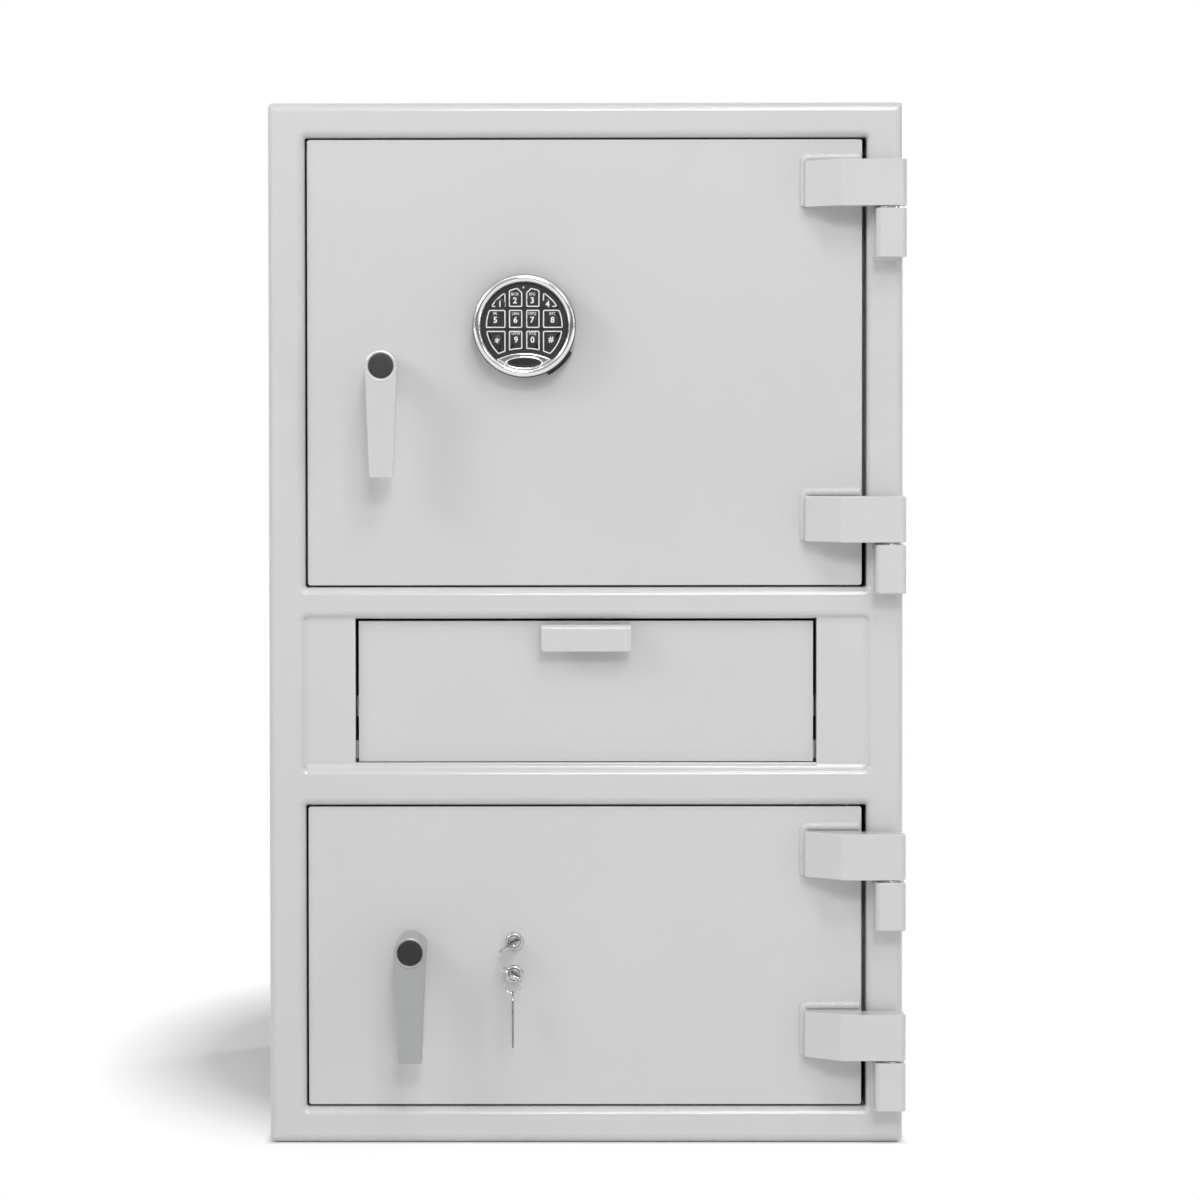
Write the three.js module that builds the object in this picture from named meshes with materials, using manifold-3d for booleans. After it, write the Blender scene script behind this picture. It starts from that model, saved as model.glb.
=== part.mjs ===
// Drop safe with a deposit drawer: a welded steel body, a door above, a door below, and a drawer
// between them whose floor tips as it closes, so that what lies in it slides into the lower compartment.
// Millimetres, +Z up. The front faces -Y. The origin is the centre of the base's underside.

import * as THREE from 'three';
import Module from 'manifold-3d';
import { mergeVertices } from 'three/addons/utils/BufferGeometryUtils.js';

// Body
const bodyWidth = 518;
const bodyHeight = 850;
const bodyDepth = 500;
const wall = 5;
const bodyCornerRadius = 4;
const seat = 0.3; // gap between two pieces that are fastened together
const anchorHoleDiameter = 14;
const anchorInsetX = 75; // from the body's side to an anchor hole's centre
const anchorInsetY = 90;

// Front frame, with its three openings stacked from the bottom
const frameDepth = 30;
const frameEdgeRadius = 7.5;
const frameEdgeSteps = 5;
const frameCornerSteps = 6;
const frameCornerLeast = 0.2;
const openingCornerRadius = 2;
const stileWidth = 30;
const bottomBand = 29;
const lowerOpeningHeight = 247.8;
const lowerRailHeight = 31.2;
const drawerOpeningHeight = 121.3;
const upperRailHeight = 25.7;
const topBand = 28.5;

// Doors
const doorThickness = 8;
const doorRecess = 6;
const doorGapSide = 1.7;
const doorGapHinge = 3.6;
const doorGapEnds = 1.5;
const doorCornerRadius = 1.5;
const caseDepth = 46; // the pan behind the door plate
const caseWall = 2;
const caseInset = 13;
const deadBarReach = 11; // how far the fixed bar on the hinge side reaches behind the frame
const deadBarGap = 6; // from the frame's back to the bar
const deadBarThickness = 10;
const deadBarInset = 40;

// Hinges
const hingeBlockWidth = 24.5;
const leafThickness = 22;
const leafStandOff = 4; // from the frame's front to the leaf's back
const leafHeight = 37.4;
const leafLength = 80.8;
const leafSlopeLength = 27.6;
const leafToeHeight = 12; // how far the thin end of the leaf stands off the door
const knuckleHeight = 39.4;
const hingeChamfer = 3;
const hingeRunningGap = 2;
const pinDiameter = 12;
const pinClearance = 0.4;
const pinInLeaf = 25;
const washerRadius = 9;

// Boltwork
const boltDiameter = 20;
const boltThrow = 18;
const boltChamfer = 1.5;
const boltFrameGap = 1.5;
const boltTipInset = 7; // from the opening's edge to a withdrawn bolt's tip
const boltHoleClearance = 0.5;
const boltEndInset = 58; // from a door's end to its first bolt's centre
const barInset = 37; // from the door's edge to the bolt bar
const barThickness = 6;
const barInsetEnds = 26;
const barDepth = 25.5;
const barBehindCrank = 4;
const linkThickness = 6;
const linkHeight = 16;
const linkGap = 1;

// Handles
const hubDiameter = 26;
const hubChamfer = 1;
const handleStandOff = 43;
const armThickness = 14;
const armLength = 90;
const armTipWidth = 19;
const capDiameter = 20.4;
const capRecess = 3;
const capClearance = 0.3;
const spindleDiameter = 10;
const spindleInHub = 18;
const spindleHoleClearance = 1;
const crankThickness = 5;
const crankGap = 3; // from the door's back to the crank
const crankWidth = 14;
const crankPastPin = 6;
const crankPastSpindle = 8;
const crankPinDiameter = 6;
const drivePlateMargin = 6;
const driveSlotClearance = 0.5;

// Lock cases
const lockWidth = 62;
const lockHeight = 84;
const lockDepth = 28;
const lockBoltHeight = 20;
const lockBoltThickness = 9;
const lockBoltLength = 24;
const lockBoltFront = 9; // from the door's back to the lock bolt's front
const lockBoltClearance = 0.4;

// Keypad
const keypadRadius = 41.4;
const keypadInnerRadius = 34.7;
const keypadBaseRadius = 39.5;
const keypadBaseDepth = 8;
const keypadHeight = 24; // from the door to the bezel's crest
const bezelLip = 3.5; // how far the bezel's crest stands over its inner edge
const bezelShoulder = 5; // and over the start of its straight outer side
const bezelFlat = 0.8; // half the width of the crest
const bezelRoundShare = 0.3; // where its outer slope turns steeper
const keypadFaceDepth = 19;
const keyFieldRadius = 31.3;
const keyPocketDepth = 2.8;
const keyPocketClearance = 0.35;
const keyGap = 0.9; // the free space under a key
const keyProud = 1.4; // how far a key stands over the face
const keyColumnWidth = 11.2;
const keyColumnPitch = 14;
const keyOuterColumnStart = 15;
const keyRowHeight = 15;
const keyRowPitch = 17;
const keyRowMiddle = 5.5; // the middle row's centre, over the keypad's centre
const lobeTop = -21.8;
const lobeRadius = 49.1;
const lobeMargin = 2.9;
const lobeThickness = 3.2;
const badgeHalfLength = 15.4;
const badgeHalfHeight = 5.5;
const badgeDrop = 30.1;
const badgeRim = 1.6;
const badgeProud = 1.6;
const badgeDishDepth = 1;
const lampHeight = 31; // the lamp's centre, over the keypad's centre
const lampNotch = 5.55; // half the diagonal of the square that the keys leave free round the lamp
const tabRadius = 44.5;
const tabStartDegrees = -64;
const tabEndDegrees = -29;

// Key locks and keys
const lockPitch = 26.8;
const noseRadius = 7.35;
const noseProud = 3.2;
const noseBarrelRadius = 6.3;
const noseChamfer = 1;
const plugRadius = 4.7;
const plugProud = 0.4;
const plugClearance = 0.3;
const keyThickness = 1.6;
const keyBladeWidth = 7;
const keyBladeInPlug = 10;
const keyBladeTip = 2;
const keyShoulder = 2; // from the plug to the bow
const bowRadius = 9;
const bowHoleRadius = 3;
const bowHoleOffset = 5; // from the bow's centre, away from the blade
const bowHoleSide = 1.5;
const upperBowShift = 5.2; // how far a lock key's bow is off the blade's line
const lowerBowShift = 3;
const ringRadius = 6.9;
const ringWireRadius = 0.5;
const spareBladeLength = 26;

// Deposit drawer
const drawerRecess = 10;
const drawerFrontThickness = 4;
const drawerGapSide = 2.5;
const drawerGapTop = 2.1;
const drawerGapBottom = 0.8; // from the sill to the drawer's front
const drawerTravel = 200;
const fillerWidth = 40.5;
const fillerThickness = 3;
const fillerRecess = 5;
const sillHeight = 3;
const sillDepth = 9;
const housingWall = 2;
const housingDepth = 282; // from the frame's back to the housing's back
const housingDrop = 93; // how far the housing reaches below the drawer opening
const housingSlopeStart = 12;
const housingFlat = 112; // the level part of its lower edge, at the back
const roofThickness = 4;
const roofClearance = 6.7; // from the drawer opening's top to the roof
const traySheet = 2;
const traySideGap = 13.2; // between the tray's side and the housing, where the runners are
const trayHeight = 75;
const trayLength = 206;
const trayTailLength = 80;
const trayTailHeight = 31;
const trayOverFloor = 6;
const earLength = 17.7;
const earDrop = 7;
const runnerHeight = 17;
const runnerSheet = 1.5;
const runnerDepth = 6.2;
const runnerOverTray = 6.5;
const runnerClearance = 0.5;
const runnerFrontGap = 14;
const runnerEndGap = 5;
const floorPivotBack = 10; // from the drawer front's back to the floor's pivot
const floorPivotHeight = 27; // over the drawer opening's bottom
const floorLength = 194; // from the pivot to the guide pins
const floorSheet = 2.5;
const floorTilt = 25;
const floorSideGap = 3;
const floorRodDiameter = 6;
const floorRodClearance = 0.3; // in the tray's ears
const floorBarrelRadius = 5.5;
const guidePinRadius = 5;
const guidePinGap = 0.6;
const guidePinEndGap = 2;
const rampDepth = 15;
const rampGap = 3; // between the tray's side and the ramp
const rampSteps = 8;
const rampRunOn = 0.04; // share of the travel by which the ramp runs on at its low end
const pullWidth = 73.2;
const pullHeight = 21.7;
const pullSheet = 2.5;
const pullReach = 18;
const pullDrop = 2.3;
const pullCornerRadius = 3;

// Where the handles, the keypad, the locks and the hinges sit, from each door's left edge and bottom edge
const upperDoorLayout = {
  handle: { x: 61.8, z: 178.8 },
  lock: { x: 177.3, z: 211.5 },
  topHinge: 55.5,
  bottomHinge: 35.7,
  bolts: 3,
};
const lowerDoorLayout = {
  handle: { x: 84.3, z: 130.3 },
  lock: { x: 168.5, z: 120.6 },
  topHinge: 56.9,
  bottomHinge: 41,
  bolts: 2,
};
const upperKeyDegrees = 27;
const lowerKeyDegrees = -40;

// Heights and depths that follow
const frontY = -bodyDepth / 2;
const backY = bodyDepth / 2;
const frameBackY = frontY + frameDepth;
const openingHalf = bodyWidth / 2 - stileWidth;
const lowerOpening = { low: bottomBand, high: bottomBand + lowerOpeningHeight };
const drawerOpening = {
  low: lowerOpening.high + lowerRailHeight,
  high: lowerOpening.high + lowerRailHeight + drawerOpeningHeight,
};
const upperOpening = { low: drawerOpening.high + upperRailHeight, high: bodyHeight - topBand };
const doorFrontY = frontY + doorRecess;
const doorBackY = doorFrontY + doorThickness;
const doorLeft = -openingHalf + doorGapSide;
const doorRight = openingHalf - doorGapHinge;
const boltY = frameBackY + boltFrameGap + boltDiameter / 2;
const barFrontY = doorBackY + crankGap + crankThickness + barBehindCrank;
const noseFront = doorFrontY - noseProud;
const plugFront = noseFront - plugProud;
const plugBack = doorBackY - seat;
const pinX = bodyWidth / 2 - hingeBlockWidth / 2;
const pinY = frontY - leafStandOff - leafThickness / 2;
const hingeFrontY = frontY - leafStandOff - leafThickness;

// Finishes
const paint = { color: 0xcfd0d0, roughness: 0.45, metalness: 0 };
const innerPaint = { color: 0xb9babb, roughness: 0.55, metalness: 0 };
const silver = { color: 0xc2c3c4, roughness: 0.4, metalness: 0.3 };
const chrome = { color: 0xd8d9da, roughness: 0.12, metalness: 1 };
const zinc = { color: 0xb4b6b8, roughness: 0.35, metalness: 0.9 };
const black = { color: 0x232425, roughness: 0.5, metalness: 0 };

// Solid modelling helpers
const wasm = await Module();
wasm.setup();

function toSolid(geometry) {
  const bare = geometry.clone();
  bare.deleteAttribute('normal');
  bare.deleteAttribute('uv');
  const welded = mergeVertices(bare, 1e-4);
  const vertProperties = new Float32Array(welded.attributes.position.array);
  const triVerts = new Uint32Array(welded.index.array);
  return new wasm.Manifold(new wasm.Mesh({ numProp: 3, vertProperties, triVerts }));
}

function toGeometry(solid) {
  const mesh = solid.getMesh();
  const geometry = new THREE.BufferGeometry();
  geometry.setAttribute('position', new THREE.BufferAttribute(mesh.vertProperties, 3));
  geometry.setIndex(new THREE.BufferAttribute(mesh.triVerts, 1));
  geometry.computeVertexNormals();
  return geometry;
}

function join(...geometries) {
  return toGeometry(geometries.map(toSolid).reduce((whole, next) => whole.add(next)));
}

function cut(geometry, ...tools) {
  return toGeometry(tools.map(toSolid).reduce((whole, tool) => whole.subtract(tool), toSolid(geometry)));
}

function common(a, b) {
  return toGeometry(toSolid(a).intersect(toSolid(b)));
}

// A block between two corners
function block([x0, x1], [y0, y1], [z0, z1]) {
  const geometry = new THREE.BoxGeometry(x1 - x0, y1 - y0, z1 - z0);
  return geometry.translate((x0 + x1) / 2, (y0 + y1) / 2, (z0 + z1) / 2);
}

function toShape(points) {
  if (points instanceof THREE.Shape) return points;
  return new THREE.Shape(points.map(([u, v]) => new THREE.Vector2(u, v)));
}

function extrude(shape, low, high, across, up, along, segments) {
  const geometry = new THREE.ExtrudeGeometry(toShape(shape), {
    depth: high - low,
    bevelEnabled: false,
    curveSegments: segments,
  });
  geometry.translate(0, 0, low);
  return geometry.applyMatrix4(new THREE.Matrix4().makeBasis(across, up, along));
}

const axisX = new THREE.Vector3(1, 0, 0);
const axisY = new THREE.Vector3(0, 1, 0);
const axisZ = new THREE.Vector3(0, 0, 1);

// A shape drawn in Y and Z, between two values of X
function prismX(shape, [x0, x1], segments = 8) {
  return extrude(shape, x0, x1, axisY, axisZ, axisX, segments);
}

// A shape drawn in X and Z, between two values of Y
function prismY(shape, [y0, y1], segments = 8) {
  return extrude(shape, -y1, -y0, axisX, axisZ, axisY.clone().negate(), segments);
}

// A shape drawn in X and Y, between two values of Z
function prismZ(shape, [z0, z1], segments = 8) {
  return extrude(shape, z0, z1, axisX, axisY, axisZ, segments);
}

// A round bar along X, Y or Z
function rodX(y, z, radius, [x0, x1], sides = 24) {
  return new THREE.CylinderGeometry(radius, radius, x1 - x0, sides).rotateZ(-Math.PI / 2)
    .translate((x0 + x1) / 2, y, z);
}

function rodY(x, z, radius, [y0, y1], sides = 24) {
  return new THREE.CylinderGeometry(radius, radius, y1 - y0, sides).translate(x, (y0 + y1) / 2, z);
}

function rodZ(x, y, radius, [z0, z1], sides = 24) {
  return new THREE.CylinderGeometry(radius, radius, z1 - z0, sides).rotateX(Math.PI / 2)
    .translate(x, y, (z0 + z1) / 2);
}

// A profile of [radius, y] points, listed from front to back along its outside, turned about a line along Y
function turnedY(profile, x, z, sides = 32) {
  const points = profile.map(([radius, y]) => new THREE.Vector2(radius, y));
  const geometry = new THREE.LatheGeometry([...points, points[0]], sides);
  return geometry.translate(x, 0, z);
}

// A rectangle with round corners, in the drawing plane
function roundedRectangle(left, right, low, high, radius, Kind = THREE.Shape) {
  const shape = new Kind();
  shape.moveTo(left + radius, low);
  shape.lineTo(right - radius, low);
  shape.absarc(right - radius, low + radius, radius, -Math.PI / 2, 0);
  shape.absarc(right - radius, high - radius, radius, 0, Math.PI / 2);
  shape.absarc(left + radius, high - radius, radius, Math.PI / 2, Math.PI);
  shape.absarc(left + radius, low + radius, radius, Math.PI, 1.5 * Math.PI);
  return shape;
}

const safe = new THREE.Group();

function add(name, geometry, finish) {
  const material = new THREE.MeshStandardMaterial({ ...finish, flatShading: true });
  const mesh = new THREE.Mesh(geometry, material);
  mesh.name = name;
  safe.add(mesh);
}

// A solid drawn as matching outlines at several depths, listed from front to back
function layeredSolid(layers) {
  const positions = layers.flatMap(({ y, outline }) => outline.flatMap((point) => [point.x, y, point.y]));
  const count = layers[0].outline.length;
  const backStart = count * (layers.length - 1);
  const faces = [];
  for (const [i, j, k] of THREE.ShapeUtils.triangulateShape(layers[0].outline, [])) faces.push(i, j, k);
  for (const [i, j, k] of THREE.ShapeUtils.triangulateShape(layers.at(-1).outline, [])) {
    faces.push(backStart + i, backStart + k, backStart + j);
  }
  for (let start = 0; start < backStart; start += count) {
    for (let i = 0; i < count; i += 1) {
      const here = start + i;
      const next = start + ((i + 1) % count);
      faces.push(here, next + count, next, here, here + count, next + count);
    }
  }
  const geometry = new THREE.BufferGeometry();
  geometry.setAttribute('position', new THREE.Float32BufferAttribute(positions, 3));
  geometry.setIndex(faces);
  return geometry;
}

// A rectangle's outline with round corners, always of as many points
function roundedOutline(left, right, low, high, radius) {
  const centres = [
    [right - radius, low + radius], [right - radius, high - radius],
    [left + radius, high - radius], [left + radius, low + radius],
  ];
  return centres.flatMap(([x, z], quarter) => Array.from({ length: frameCornerSteps + 1 }, (_, i) => {
    const angle = (Math.PI / 2) * (quarter - 1 + i / frameCornerSteps);
    return new THREE.Vector2(x + radius * Math.cos(angle), z + radius * Math.sin(angle));
  }));
}

// Front frame: rounded on its outer and inner front edges, square at the back
function makeFrontFrame() {
  const half = bodyWidth / 2;
  const outerAt = (inset) => {
    const radius = Math.max(bodyCornerRadius - inset, frameCornerLeast);
    return roundedOutline(-half + inset, half - inset, inset, bodyHeight - inset, radius);
  };
  const openingAt = ({ low, high }, flare) => {
    const side = openingHalf + flare;
    return roundedOutline(-side, side, low - flare, high + flare, openingCornerRadius + flare);
  };
  const edge = Array.from({ length: frameEdgeSteps + 1 }, (_, i) => {
    const angle = (Math.PI / 2) * (1 - i / frameEdgeSteps);
    return {
      y: frontY + frameEdgeRadius * (1 - Math.sin(angle)),
      inset: frameEdgeRadius * (1 - Math.cos(angle)),
    };
  });
  const plate = layeredSolid([
    ...edge.map(({ y, inset }) => ({ y, outline: outerAt(inset) })),
    { y: frameBackY, outline: outerAt(0) },
  ]);
  const openings = [lowerOpening, drawerOpening, upperOpening].map((opening) => layeredSolid([
    { y: frontY - 1, outline: openingAt(opening, frameEdgeRadius) },
    ...edge.map(({ y, inset }) => ({ y, outline: openingAt(opening, inset) })),
    { y: frameBackY + 1, outline: openingAt(opening, 0) },
  ]));
  return cut(plate, ...openings);
}

add('front_frame', makeFrontFrame(), paint);

// Body: one folded sheet for the sides and the top, a floor between them, and a back plate
const shellFront = frameBackY + seat;
const innerHalf = bodyWidth / 2 - wall;
const innerTop = bodyHeight - wall;

function makeBodyWrap() {
  const half = bodyWidth / 2;
  const outer = roundedRectangle(-half, half, 0, bodyHeight, bodyCornerRadius);
  const squareFoot = block([-half, half], [shellFront, backY], [0, bodyHeight / 2]);
  const inside = block([-innerHalf, innerHalf], [shellFront - 1, backY + 1], [-1, innerTop]);
  return cut(join(prismY(outer, [shellFront, backY], 3), squareFoot), inside);
}

function makeFloorPlate() {
  const plate = block([-innerHalf + seat, innerHalf - seat], [shellFront, backY - wall - seat], [0, wall]);
  const holes = [];
  for (const side of [-1, 1]) {
    for (const end of [-1, 1]) {
      const x = side * (bodyWidth / 2 - anchorInsetX);
      const y = end * (bodyDepth / 2 - anchorInsetY);
      holes.push(rodZ(x, y, anchorHoleDiameter / 2, [-1, wall + 1], 20));
    }
  }
  return cut(plate, ...holes);
}

add('body_wrap', makeBodyWrap(), paint);
add('floor_plate', makeFloorPlate(), innerPaint);
add('back_plate', block([-innerHalf + seat, innerHalf - seat], [backY - wall, backY], [0, innerTop - seat]), paint);

// Doors: what both have, made from the opening that each one closes
function makeLeaf(low) {
  const right = pinX + hingeBlockWidth / 2;
  const left = right - leafLength;
  const toeY = doorFrontY - leafToeHeight;
  const rearY = hingeFrontY + leafThickness;
  const doorY = doorFrontY - seat;
  const c = hingeChamfer;
  const outline = [
    [left, doorY],
    [left, toeY],
    [left + leafSlopeLength, hingeFrontY],
    [right - c, hingeFrontY],
    [right, hingeFrontY + c],
    [right, rearY - c],
    [right - c, rearY],
    [doorRight, rearY],
    [doorRight, doorY],
  ];
  const hole = rodZ(pinX, pinY, pinDiameter / 2 + pinClearance, [low - 1, low + pinInLeaf + seat]);
  return cut(prismZ(outline, [low, low + leafHeight]), hole);
}

// The fixed half of a hinge: a block on the frame, with its pin standing in it and a washer under the leaf
function makeKnuckle(leafLow) {
  const high = leafLow - hingeRunningGap;
  const left = pinX - hingeBlockWidth / 2;
  const right = pinX + hingeBlockWidth / 2;
  const c = hingeChamfer;
  const outline = [
    [left, frontY - seat],
    [left, hingeFrontY + c],
    [left + c, hingeFrontY],
    [right - c, hingeFrontY],
    [right, hingeFrontY + c],
    [right, frontY - seat],
  ];
  const washer = rodZ(pinX, pinY, washerRadius, [high - 1, leafLow - seat]);
  const pin = rodZ(pinX, pinY, pinDiameter / 2, [high - 1, leafLow + pinInLeaf - 1]);
  return join(prismZ(outline, [high - knuckleHeight, high]), washer, pin);
}

// The arm of a handle, seen from the front: round at the hub and tapering to its tip
function makeArmOutline(x, z) {
  const outline = new THREE.Shape();
  const radius = hubDiameter / 2;
  const slope = Math.asin((radius - armTipWidth / 2) / armLength);
  outline.absarc(x, z, radius, -slope, Math.PI + slope);
  outline.lineTo(x - armTipWidth / 2, z - armLength);
  outline.lineTo(x + armTipWidth / 2, z - armLength);
  return outline;
}

function makeHandle(x, z) {
  const backOfHub = doorFrontY - seat;
  const front = doorFrontY - handleStandOff;
  const radius = hubDiameter / 2;
  const hub = turnedY([
    [0, front],
    [radius - hubChamfer, front],
    [radius, front + hubChamfer],
    [radius, backOfHub],
    [0, backOfHub],
  ], x, z);
  const armFront = front + hubChamfer;
  const arm = prismY(makeArmOutline(x, z), [armFront, armFront + armThickness]);
  const capSeat = rodY(x, z, capDiameter / 2 + capClearance, [front - 1, front + capRecess], 32);
  const bore = rodY(x, z, spindleDiameter / 2 + seat, [backOfHub - spindleInHub - seat, backOfHub + 1]);
  return cut(join(hub, arm), capSeat, bore);
}

function makeCap(x, z) {
  const front = doorFrontY - handleStandOff;
  return rodY(x, z, capDiameter / 2, [front - seat, front + capRecess - seat], 32);
}

// The spindle passes through the door and carries a crank, whose pin drives the bolt bar
function makeSpindle(x, z) {
  const crankY = doorBackY + crankGap;
  const crankBackY = crankY + crankThickness;
  const shaft = rodY(x, z, spindleDiameter / 2, [doorFrontY - seat - spindleInHub, crankBackY]);
  const armZ = [z - boltThrow - crankPastPin, z + crankPastSpindle];
  const arm = block([x - crankWidth / 2, x + crankWidth / 2], [crankY, crankBackY], armZ);
  const pinEnd = barFrontY + linkThickness - 1;
  const pin = rodY(x, z - boltThrow, crankPinDiameter / 2, [crankY, pinEnd], 16);
  return join(shaft, arm, pin);
}

// The pan behind a door plate, with the holes that guide the bolts and the fixed bar on the hinge side
function makeCase(door) {
  const { low, high, boltHeights } = door;
  const left = doorLeft + caseInset;
  const right = doorRight - caseInset;
  const front = doorBackY + seat;
  const back = doorBackY + caseDepth;
  const pan = block([left, right], [front, back], [low + caseInset, high - caseInset]);
  const inside = block(
    [left + caseWall, right - caseWall],
    [front - 1, back - caseWall],
    [low + caseInset + caseWall, high - caseInset - caseWall],
  );
  const holeRadius = boltDiameter / 2 + boltHoleClearance;
  const holes = boltHeights.map((z) => rodX(boltY, z, holeRadius, [left - 1, left + caseWall + 1], 28));
  const barFront = frameBackY + deadBarGap;
  const deadBar = block(
    [right - 0.5, openingHalf + deadBarReach],
    [barFront, barFront + deadBarThickness],
    [low + deadBarInset, high - deadBarInset],
  );
  return join(cut(pan, inside, ...holes), deadBar);
}

// A round bolt with a chamfered tip, from its tip to the bar
function makeBolt(z) {
  const tip = -openingHalf + boltTipInset;
  const length = doorLeft + barInset + 0.5 - tip;
  const radius = boltDiameter / 2;
  const profile = [[0, 0], [radius - boltChamfer, 0], [radius, boltChamfer], [radius, length], [0, length], [0, 0]];
  const points = profile.map(([r, along]) => new THREE.Vector2(r, along));
  return new THREE.LatheGeometry(points, 24).rotateZ(-Math.PI / 2).translate(tip, boltY, z);
}

// The most that the crank pin's swing runs ahead of an even travel of the bar
const evenShare = 2 / Math.PI;
const crankLead = boltThrow * (Math.sqrt(1 - evenShare ** 2) - evenShare * Math.acos(evenShare));

// The bar that carries the bolts, with the slotted plate that the crank drives and the arm to the lock
function makeBoltwork(door) {
  const { low, high, handle, lock } = door;
  const left = doorLeft + barInset;
  const right = left + barThickness;
  const linkBack = barFrontY + linkThickness;
  const bar = block([left, right], [barFrontY, barFrontY + barDepth], [low + barInsetEnds, high - barInsetEnds]);
  const pinRoom = crankPinDiameter / 2 + driveSlotClearance;
  const slotX = [handle.x - crankLead - pinRoom, handle.x + pinRoom];
  const slotZ = [handle.z - boltThrow - pinRoom, handle.z + pinRoom];
  const drivePlate = block(
    [right - 0.5, slotX[1] + drivePlateMargin],
    [barFrontY, linkBack],
    [slotZ[0] - drivePlateMargin, slotZ[1] + drivePlateMargin],
  );
  const armEnd = lock.x - lockWidth / 2 - linkGap;
  const arm = block(
    [right - 0.5, armEnd],
    [barFrontY, linkBack],
    [lock.z - linkHeight / 2, lock.z + linkHeight / 2],
  );
  const slot = block(slotX, [barFrontY - 1, linkBack + 1], slotZ);
  return cut(join(bar, drivePlate, arm, ...door.boltHeights.map(makeBolt)), slot);
}

function lockBoltBox(lock, room) {
  const left = lock.x - lockWidth / 2;
  const front = doorBackY + lockBoltFront;
  return block(
    [left - (room ? 1 : 0), left + lockBoltLength + room],
    [front - room, front + lockBoltThickness + room],
    [lock.z - lockBoltHeight / 2 - room, lock.z + lockBoltHeight / 2 + room],
  );
}

// A key lock's nose: a barrel from the lock case through the door, with a round face in front of it
function makeNose({ x, z }) {
  return turnedY([
    [0, noseFront],
    [noseRadius - noseChamfer, noseFront],
    [noseRadius, noseFront + noseChamfer],
    [noseRadius, doorFrontY - seat],
    [noseBarrelRadius, doorFrontY - seat],
    [noseBarrelRadius, doorBackY + seat + 1],
    [0, doorBackY + seat + 1],
  ], x, z);
}

function nosePocket({ x, z }) {
  return rodY(x, z, plugRadius + plugClearance, [noseFront - 1, plugBack + seat], 32);
}

function makeLockCase(lock, noses) {
  const body = block(
    [lock.x - lockWidth / 2, lock.x + lockWidth / 2],
    [doorBackY + seat, doorBackY + seat + lockDepth],
    [lock.z - lockHeight / 2, lock.z + lockHeight / 2],
  );
  const boltRoom = lockBoltBox(lock, lockBoltClearance);
  return cut(join(body, ...noses.map(makeNose)), boltRoom, ...noses.map(nosePocket));
}

function placeDoor(prefix, opening, layout) {
  const low = opening.low + doorGapEnds;
  const high = opening.high - doorGapEnds;
  const firstBolt = low + boltEndInset;
  const step = (high - low - 2 * boltEndInset) / (layout.bolts - 1);
  return {
    prefix,
    low,
    high,
    handle: { x: doorLeft + layout.handle.x, z: low + layout.handle.z },
    lock: { x: doorLeft + layout.lock.x, z: low + layout.lock.z },
    leafLows: [high - layout.topHinge, low + layout.bottomHinge],
    boltHeights: Array.from({ length: layout.bolts }, (_, i) => firstBolt + i * step),
  };
}

const hingeNames = ['top', 'bottom'];

function addDoor(door, plateHoles, noses) {
  const { prefix, low, high, handle, lock } = door;
  const plateShape = roundedRectangle(doorLeft, doorRight, low, high, doorCornerRadius);
  const plate = prismY(plateShape, [doorFrontY, doorBackY], 2);
  const holeY = [doorFrontY - 1, doorBackY + 1];
  const spindleHole = rodY(handle.x, handle.z, spindleDiameter / 2 + spindleHoleClearance, holeY);
  add(`${prefix}_door_plate`, cut(plate, spindleHole, ...plateHoles), paint);
  add(`${prefix}_door_case`, makeCase(door), innerPaint);
  door.leafLows.forEach((leafLow, i) => {
    add(`${prefix}_hinge_leaf_${hingeNames[i]}`, makeLeaf(leafLow), paint);
    add(`${prefix}_hinge_knuckle_${hingeNames[i]}`, makeKnuckle(leafLow), paint);
  });
  add(`${prefix}_lock_case`, makeLockCase(lock, noses), zinc);
  add(`${prefix}_lock_bolt`, lockBoltBox(lock, 0), zinc);
  add(`${prefix}_handle`, makeHandle(handle.x, handle.z), silver);
  add(`${prefix}_handle_cap`, makeCap(handle.x, handle.z), black);
  add(`${prefix}_handle_spindle`, makeSpindle(handle.x, handle.z), zinc);
  add(`${prefix}_boltwork`, makeBoltwork(door), zinc);
}

const upperDoor = placeDoor('upper', upperOpening, upperDoorLayout);
const lowerDoor = placeDoor('lower', lowerOpening, lowerDoorLayout);
const noses = [0.5, -0.5].map((share) => ({ x: lowerDoor.lock.x, z: lowerDoor.lock.z + share * lockPitch }));

const noseHoles = noses.map(({ x, z }) => rodY(x, z, noseBarrelRadius + seat, [doorFrontY - 1, doorBackY + 1]));
addDoor(upperDoor, [], []);
addDoor(lowerDoor, noseHoles, noses);

// Keypad: a base with its battery tab, a bezel with the lobe for the badge, a face with a pocket for each key
const padX = upperDoor.lock.x;
const padZ = upperDoor.lock.z;
const padBack = doorFrontY - seat;
const padCrest = doorFrontY - keypadHeight;
const padFaceFront = doorFrontY - keypadFaceDepth;
const padBaseFront = padBack - keypadBaseDepth;

function makeKeypadBase() {
  const outline = new THREE.Shape();
  const start = THREE.MathUtils.degToRad(tabStartDegrees);
  const end = THREE.MathUtils.degToRad(tabEndDegrees);
  outline.absarc(padX, padZ, tabRadius, start, end);
  outline.absarc(padX, padZ, keypadBaseRadius, end, start + 2 * Math.PI);
  return join(prismY(outline, [padBaseFront, padBack], 32));
}

function ellipseShape(x, z, halfLength, halfHeight) {
  const shape = new THREE.Shape();
  shape.absellipse(x, z, halfLength, halfHeight, 0, 2 * Math.PI);
  return shape;
}

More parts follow.
